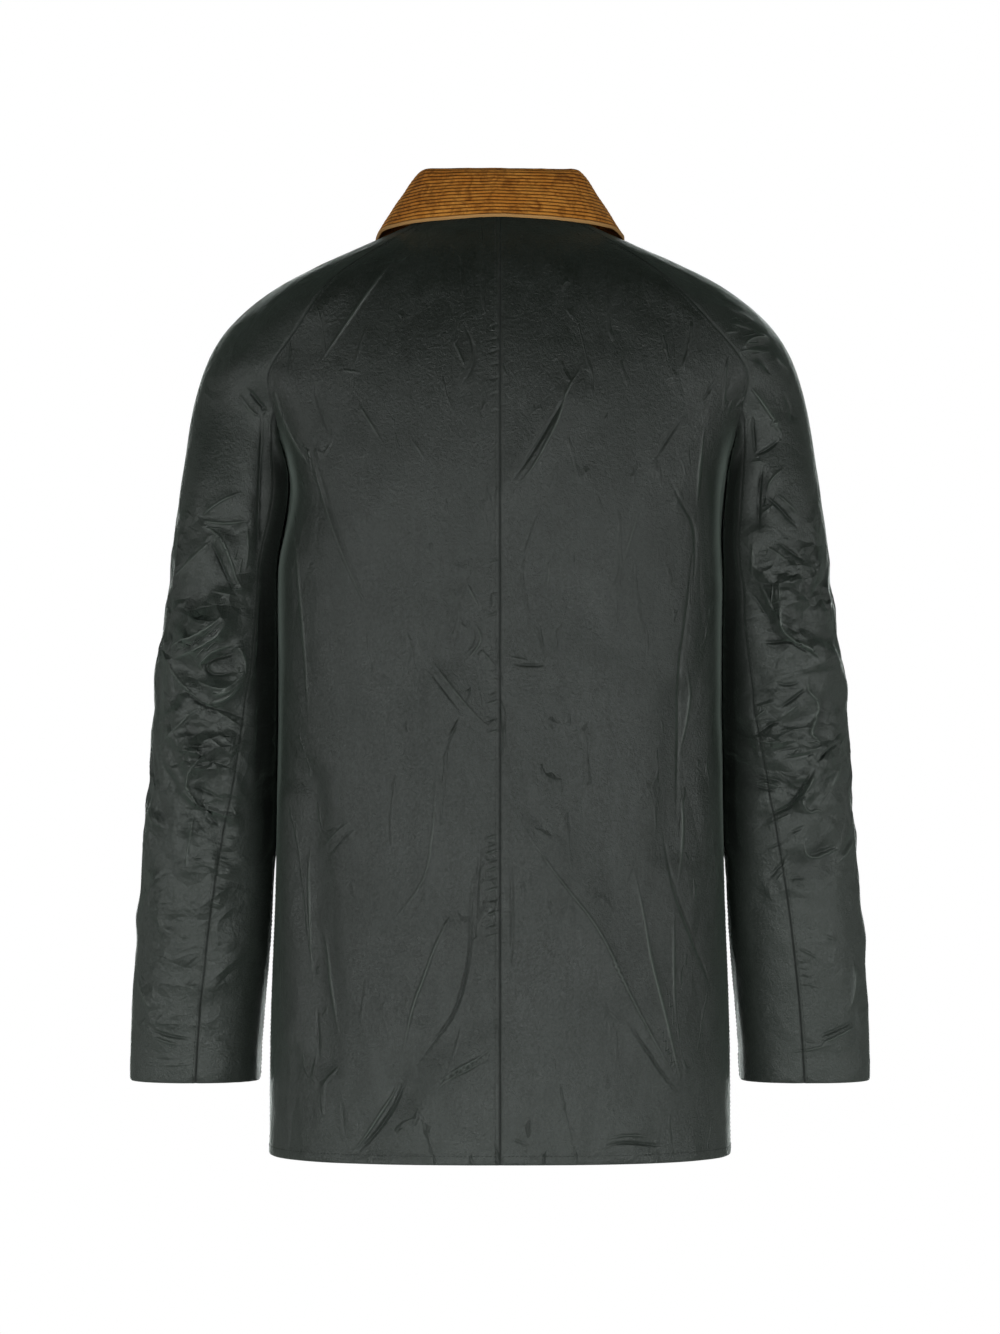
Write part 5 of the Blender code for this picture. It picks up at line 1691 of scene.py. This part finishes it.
class Nodes(Tree):
    """A material's node tree, with the nodes that cloth and metal need."""

    def __init__(self, name):
        self.material = bpy.data.materials.new(name)
        super().__init__(self.material)
        self.shader = self.tree.nodes["Principled BSDF"]
        self.place = self.add("ShaderNodeTexCoord", {}, "Object")

    def scaled(self, *scale):
        return self.add("ShaderNodeMapping", {"Scale": scale, "Vector": self.place}, "Vector")

    def noise(self, scale, detail=2.0, rough=0.5, distortion=0.0, vector=None):
        inputs = {"Scale": scale, "Detail": detail, "Roughness": rough, "Distortion": distortion}
        return self.add("ShaderNodeTexNoise", inputs | {"Vector": vector or self.place}, "Fac")

    def ridges(self, scale, detail, distortion, vector):
        """Noise with sharp crests, as of cloth that has been folded and pressed."""
        inputs = {"Scale": scale, "Detail": detail, "Roughness": 0.45, "Offset": 0.95, "Gain": 1.6}
        inputs.update({"Distortion": distortion, "Vector": vector})
        return self.add("ShaderNodeTexNoise", inputs, "Fac", noise_type="RIDGED_MULTIFRACTAL")

    def facets(self, scale, vector, sway):
        """Flat facets that meet in sharp folds, as of crumpled cloth, with their edges bent by a noise."""
        around = self.add("ShaderNodeTexNoise", {"Scale": scale * 0.9, "Vector": vector}, "Color")
        moved = self.add("ShaderNodeVectorMath", {"Scale": sway, 0: around}, "Vector", operation="SCALE")
        bent = self.add("ShaderNodeVectorMath", {0: vector, 1: moved}, "Vector", operation="ADD")
        inputs = {"Scale": scale, "Vector": bent}
        return self.add("ShaderNodeTexVoronoi", inputs, "Distance", feature="DISTANCE_TO_EDGE")

    def math(self, operation, first, second):
        return self.add("ShaderNodeMath", {0: first, 1: second}, "Value", operation=operation)

    def times(self, first, second):
        return self.math("MULTIPLY", first, second)

    def mix(self, share, first, second):
        node = self.add("ShaderNodeMix", {}, data_type="RGBA")
        for key, kind, value in (("Factor", "VALUE", share), ("A", "RGBA", first), ("B", "RGBA", second)):
            self.put(next(s for s in node.inputs if (s.name, s.type) == (key, kind)), value)
        return next(s for s in node.outputs if s.type == "RGBA")

    def attribute(self, name):
        return self.add("ShaderNodeAttribute", {}, "Fac", attribute_name=name)

    def line(self, name, width):
        """The height of a crease's own line, from how far away and how deep it is, in millimetres."""
        away = self.attribute(name + "_away")
        fall = self.times(self.times(away, away), -1 / (width * width))
        return self.times(self.math("EXPONENT", fall, 0.0), self.attribute(name + "_depth"))

    def bump(self, height, distance, strength=1.0, below=None):
        inputs = {"Distance": distance, "Strength": strength, "Height": height}
        if below is not None:
            inputs["Normal"] = below
        return self.add("ShaderNodeBump", inputs, "Normal")

    def finish(self, colour, **sockets):
        """Sets the shader's sockets, named with _ for each space, and returns the material."""
        self.put(self.shader.inputs["Base Color"], colour)
        for name, value in sockets.items():
            self.put(self.shader.inputs[name.replace("_", " ")], value)
        return self.material


def waxed_cotton():
    """Dark olive cloth, almost black, with wax gathered in patches and worn pale on the creases, and painted
    light and shade.
    """
    n = Nodes("waxed_cotton")
    patches = n.ramp(n.noise(16, 4, 0.55, 0.8), 0.36, 0.66)
    mottle = n.ramp(n.noise(95, 4, 0.6, 1.2), 0.35, 0.68)
    grain = n.ramp(n.noise(430, 5, 0.75, vector=n.scaled(1, 1, 0.7)), 0.42, 0.64)
    weave = n.noise(1500, 2, 0.6, vector=n.scaled(1, 1, 0.55))
    streaks = n.ramp(n.noise(42, 3, 0.6, 1.1, n.scaled(1.6, 1, 0.5)), 0.40, 0.68)
    on_arm, trunk = n.attribute("arm"), n.attribute("trunk")
    arm = n.times(on_arm, n.ramp(n.noise(13, 2, 0.5, 0.5), 0.44, 0.66, 0.12, 0.75))
    arm_folds = n.ridges(19, 1.3, 0.6, n.scaled(1, 1, 1.5))
    crests, folds = n.line("crest", 1.0), n.line("fold", 1.25)
    height = n.add("ShaderNodeSeparateXYZ", {"Vector": n.place}, "Z")
    rubbed_and_highlit = n.times(n.ramp(arm_folds, 1.2, 1.8), n.times(arm, 0.4))
    edge = n.times(n.attribute("worn"), n.ramp(n.noise(260, 3), 0.35, 0.65))
    lifted = n.attribute("lifted")
    peak, valley_shade = n.times(n.ramp(lifted, 0.5, 2.6), 0.25), n.ramp(lifted, -2.6, -0.4, 0.55, 0.0)
    nook_shade = n.times(n.attribute("nook_shade"), 0.97)
    shade = n.math("MAXIMUM", nook_shade, n.times(n.attribute("seamed"), 0.7))
    colour = n.mix(patches, (0.0044, 0.0060, 0.0036), (0.0092, 0.0112, 0.0086))
    for share, tint in (
        (n.times(mottle, 0.45), (0.0160, 0.0180, 0.0158)),
        (n.times(streaks, 0.50), (0.0330, 0.0362, 0.0336)),
        (n.times(grain, 0.75), (0.0390, 0.0428, 0.0396)),
        # painted light: the sleeves are paler than the body
        (n.ramp(on_arm, 0.02, 0.2, 0.0, 0.36), (0.080, 0.090, 0.082)),
        # painted light: paler towards the hem
        (n.ramp(height, -0.78, -0.62, 0.30, 0.0), (0.085, 0.094, 0.087)),
        # painted shade: darker towards the shoulders
        (n.ramp(height, -0.46, -0.22, 0.0, 0.45), (0.0055, 0.0075, 0.0048)),
        # paler on raised places and on the sleeves' ridges: wax worn pale there, and painted highlight
        (n.math("ADD", peak, rubbed_and_highlit), (0.075, 0.082, 0.075)),
        # painted highlight along the crests of the creases, where the wax is also worn pale
        (n.ramp(crests, 0.2, 3.0, 0.0, 0.95), (0.150, 0.165, 0.150)),
        # painted light: the body's side beside the sleeve is paler
        (n.times(n.attribute("flank_light"), 0.9), (0.250, 0.285, 0.262)),
        (n.times(edge, 0.35), (0.045, 0.048, 0.043)),
        # painted shade in dips and along the creases' folds
        (n.math("MAXIMUM", valley_shade, n.ramp(folds, 0.1, 2.6, 0.0, 0.30)), (0.005, 0.006, 0.005)),
        (n.attribute("inside"), (0.020, 0.021, 0.019)),
        # painted shade in the nooks between sleeve and body, with the dark line along the seams
        (shade, (0.0008, 0.0011, 0.0008)),
    ):
        colour = n.mix(share, colour, tint)
    rough = n.math("ADD", n.ramp(patches, 0, 1, 0.29, 0.42), n.ramp(mottle, 0, 1, 0.0, 0.08))
    rough = n.math("ADD", rough, n.ramp(on_arm, 0.02, 0.2, 0.0, 0.02))
    normal = n.bump(weave, 0.00022, 0.9)
    normal = n.bump(n.noise(400, 4, 0.70, 0.3), 0.0010, 0.8, normal)
    for crumple, distance in (
        (n.times(n.ramp(n.ridges(20, 2.2, 0.25, n.scaled(1.3, 1.0, 0.45)), 1.3, 1.9), trunk), 0.0180),
        (n.times(n.facets(21, n.scaled(1.2, 1.0, 0.5), 0.05), trunk), 0.0130),
        (n.times(n.facets(62, n.scaled(1, 1, 1.3), 0.02), arm), 0.0026),
        (n.times(n.facets(26, n.scaled(1, 1, 1.4), 0.045), arm), 0.0160),
        (n.times(arm_folds, arm), 0.0095),
        (n.math("SUBTRACT", crests, folds), 0.00085),
    ):
        normal = n.bump(crumple, distance, below=normal)
    return n.finish(
        colour,
        Roughness=n.math("ADD", rough, n.times(shade, 0.5)),
        Specular_IOR_Level=n.times(0.62, n.math("SUBTRACT", 1.0, nook_shade)),
        Sheen_Weight=0.14,
        Sheen_Roughness=0.5,
        Sheen_Tint=(0.66, 0.82, 0.70),
        Normal=normal,
    )


def corduroy():
    """Tan brown pile, with painted shade darker and redder between the wales, and worn pale along the collar's
    edge.
    """
    n = Nodes("corduroy")
    patches = n.ramp(n.noise(38, 3, 0.6, 0.6), 0.35, 0.66)
    nap = n.ramp(n.noise(850, 3, 0.7, vector=n.scaled(1, 1, 0.6)), 0.3, 0.7)
    blotches = n.ramp(n.noise(75, 4, 0.65, 1.5), 0.46, 0.66)
    crest = n.mix(patches, (0.75, 0.236, 0.026), (0.97, 0.386, 0.066))
    crest = n.mix(n.times(nap, 0.35), crest, (1.0, 0.48, 0.110))
    crest = n.mix(n.times(blotches, 0.75), crest, (0.30, 0.085, 0.012))
    # painted shade between the wales
    groove_shade = n.mix(patches, (0.040, 0.0085, 0.0015), (0.110, 0.0280, 0.0045))
    colour = n.mix(n.ramp(n.attribute("pile"), 0.22, 1.0), groove_shade, crest)
    colour = n.mix(n.times(n.attribute("edge"), 0.75), colour, (0.66, 0.36, 0.14))
    normal = n.bump(n.noise(1500, 3, 0.7), 0.00035, 0.8)
    return n.finish(
        colour,
        Roughness=0.9,
        Specular_IOR_Level=0.12,
        Sheen_Weight=0.15,
        Sheen_Roughness=0.4,
        Sheen_Tint=(1.0, 0.66, 0.34),
        Normal=n.bump(n.noise(420, 3, 0.6, vector=n.scaled(1, 1, 0.5)), 0.0006, 0.5, normal),
    )


def zip_tape():
    """Black woven tape with a fine rib across it."""
    n = Nodes("zip_tape")
    inputs = {"Scale": 260, "Distortion": 0.6, "Vector": n.place}
    rib = n.add("ShaderNodeTexWave", inputs, "Fac", wave_type="BANDS", bands_direction="DIAGONAL")
    colour = n.mix(rib, (0.006, 0.006, 0.006), (0.019, 0.019, 0.020))
    colour = n.mix(n.times(n.ramp(n.noise(140, 4, 0.6), 0.45, 0.7), 0.5), colour, (0.032, 0.032, 0.034))
    return n.finish(colour, Roughness=0.8, Sheen_Weight=0.15, Normal=n.bump(rib, 0.0003, 0.6))


def brass():
    """Yellow metal, dulled in places."""
    n = Nodes("brass")
    dull = n.ramp(n.noise(260, 5, 0.6, 0.8), 0.38, 0.66)
    fine = n.noise(1400, 3, 0.6, vector=n.scaled(1, 1, 0.25))
    rough = n.math("ADD", n.ramp(dull, 0, 1, 0.24, 0.44), n.ramp(fine, 0.3, 0.7, 0.0, 0.08))
    colour = n.mix(dull, (0.66, 0.47, 0.20), (0.40, 0.27, 0.12))
    return n.finish(colour, Metallic=1.0, Roughness=rough, Normal=n.bump(fine, 0.00008, 0.4))


def thread():
    """Dark thread that has picked up wax, so it catches more light than the cloth."""
    n = Nodes("thread")
    ply = n.noise(2600, 2, 0.6)
    colour = n.mix(n.ramp(ply, 0.3, 0.7), (0.012, 0.014, 0.012), (0.038, 0.041, 0.037))
    return n.finish(colour, Roughness=0.5, Sheen_Weight=0.1, Normal=n.bump(ply, 0.0001, 0.6))


# --- the studio ----------------------------------------------------------------------------------------

# In metres.
CAMERA_DISTANCE = 5.2
CAMERA_HEIGHT = -0.36
FRAME_PIXELS = 1334
FRAME_SCALE = 0.00082  # metres a pixel at the jacket's middle
FLOOR_DROP = 0.33  # below the hem
FLOOR_RADIUS = 1.6
LIGHT_COLOUR = (0.92, 1.0, 0.965)
LIGHT_TARGET = (0, 0, CAMERA_HEIGHT)


def make_camera():
    camera = add_object("camera", bpy.data.cameras.new("camera"))
    camera.data.angle = 2 * math.atan(0.5 * FRAME_PIXELS * FRAME_SCALE / CAMERA_DISTANCE)
    camera.data.clip_end = 60
    camera.location = (0, CAMERA_DISTANCE, CAMERA_HEIGHT)
    camera.rotation_euler = (math.radians(90), 0, math.radians(180))
    bpy.context.scene.camera = camera


def softbox(name, place, size, power):
    data = bpy.data.lights.new(name, "AREA")
    data.shape = "RECTANGLE"
    data.size, data.size_y = size
    data.energy = power
    data.color = LIGHT_COLOUR
    lamp = add_object(name, data)
    lamp.location = place
    lamp.rotation_euler = (Vector(LIGHT_TARGET) - Vector(place)).to_track_quat("-Z", "Y").to_euler()


def make_world():
    """A white studio, dimmer overhead. Its backdrop is white and its own light is a soft fill."""
    world = bpy.data.worlds.new("studio")
    bpy.context.scene.world = world
    n = Tree(world)
    n.tree.nodes.clear()
    place = n.add("ShaderNodeTexCoord", {}, "Generated")
    way = n.add("ShaderNodeSeparateXYZ", {"Vector": place}).outputs
    bands = n.add("ShaderNodeValToRGB", {"Fac": n.ramp(way["Z"], -1, 1)})
    bands.color_ramp.interpolation = "EASE"
    stops = bands.color_ramp.elements
    stops[0].position, stops[0].color = 0.30, (0.16, 0.16, 0.16, 1)
    stops[1].position, stops[1].color = 0.66, (0.015, 0.015, 0.015, 1)
    for at, level in ((0.43, 0.50), (0.52, 0.50)):
        stops.new(at).color = (level, level, level, 1)
    behind = n.ramp(way["Y"], -0.9, 0.1, 0.22, 1.0)
    inputs = {0: bands.outputs["Color"], "Scale": behind}
    dimmed = n.add("ShaderNodeVectorMath", inputs, "Vector", operation="SCALE")
    fill = n.add("ShaderNodeBackground", {"Color": dimmed, "Strength": 0.8}, "Background")
    backdrop = n.add("ShaderNodeBackground", {"Color": (1, 1, 1)}, "Background")
    seen = n.add("ShaderNodeLightPath", {}, "Is Camera Ray")
    blend = n.add("ShaderNodeMixShader", {0: seen, 1: fill, 2: backdrop}, "Shader")
    n.add("ShaderNodeOutputWorld", {"Surface": blend})


def make_floor():
    body = bmesh.new()
    bmesh.ops.create_circle(body, cap_ends=True, radius=FLOOR_RADIUS, segments=96)
    mesh = bpy.data.meshes.new("floor")
    body.to_mesh(mesh)
    body.free()
    floor = add_object("floor", mesh)
    floor.location = (0, 0, -HELD_HEIGHT * METRES - FLOOR_DROP)
    n = Nodes("floor_paper")
    glow = n.times(n.add("ShaderNodeLightPath", {}, "Is Camera Ray"), 0.55)
    colour, white = (0.86, 0.86, 0.85), (1.0, 1.0, 1.0)
    mesh.materials.append(n.finish(colour, Roughness=0.9, Emission_Color=white, Emission_Strength=glow))


def make_studio():
    bpy.context.scene.view_settings.view_transform = "Standard"
    make_camera()
    make_world()
    make_floor()
    softbox("left_box", (1.35, 3.7, -1.0), (1.1, 1.0), 37)
    softbox("right_box", (-1.35, 3.7, -1.0), (1.1, 1.0), 37)
    softbox("left_strip", (3.1, 1.4, -0.55), (0.6, 1.0), 15)
    softbox("right_strip", (-3.1, 1.4, -0.55), (0.6, 1.0), 15)
    softbox("front_box", (0.0, -3.4, -0.2), (2.2, 2.0), 60)


# --- putting it together -------------------------------------------------------------------------------

# The rectangle that each piece was cut from, in metres.
Cut = namedtuple("Cut", "width length")


def finish_piece(thing, finish, nodes=(), body="jacket"):
    """Gives a piece its material and its body, and hides the solids that it stands in for."""
    thing.data.materials.clear()
    thing.data.materials.append(finish)
    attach(thing, body)
    if nodes:
        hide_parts(*nodes)


def stitches_of(skin, name, tree):
    """Where all the stitches of one piece lie."""
    places = []
    for (one, two), rows in skin.edges.items():
        if one != name or (one, two) not in STITCHED:
            continue
        if two is None:
            rows = [row for row in rows if skin.points[row[0]][2] < NECK_TOP]
        beside_zip = name.startswith("front") and (two or "").startswith("front")
        offset = STITCHED[one, two] + (ZIP_REVEAL / 2 if beside_zip else 0)
        places += stitch_places(skin, rows, tree, offset)
    return places


def dress_panels(levels, kinds, cotton, sewing):
    """Lays the cloth and the stitches of some kinds of piece on one skin."""
    skin = Skin(levels)
    heights, shares = dress(skin)
    for name in sorted(set(skin.pieces.tolist())):
        if not name.startswith(kinds):
            continue
        cloth, tree, area = make_panel(skin, name, heights, shares)
        finish_piece(cloth, cotton, [name])
        points, faces = thread_mesh(stitches_of(skin, name, tree))
        if faces:
            stitches = new_mesh_object("stitches_" + name, placed(points), faces)
            finish_piece(stitches, sewing)


def main():
    make_studio()
    cotton, cord_cloth, tape_cloth, metal, sewing = waxed_cotton(), corduroy(), zip_tape(), brass(), thread()
    points, faces, pieces = fitted_skin(build_cage(), SOLID_LEVELS)
    points = fold_skin(pull_armhole(points), faces, pieces)
    dress_panels(FINE_LEVELS, ("back", "sleeve"), cotton, sewing)
    dress_panels(FRONT_LEVELS, ("front",), cotton, sewing)
    collar, area = make_collar(points, faces)
    finish_piece(collar, cord_cloth, ["collar"])
    rows = zip_path(points, faces)
    reached = distances_along(rows[:, :3])
    for name, side in (("zip_tape_left", 1), ("zip_tape_right", -1)):
        tape, width, length = make_tape(name, side, rows, reached)
        finish_piece(tape, tape_cloth, [name])
    teeth = make_teeth(rows, reached, reached[-1] - SLIDER_BELOW_NECK)
    finish_piece(teeth, metal)
    for node, width, body in (("zip_slider", 0.3, "jacket"), ("zip_pull_tab", 0.35, "pull_tab")):
        finish_piece(rounded_copy(node, "fine_" + node, width), metal, [node], body)


main()
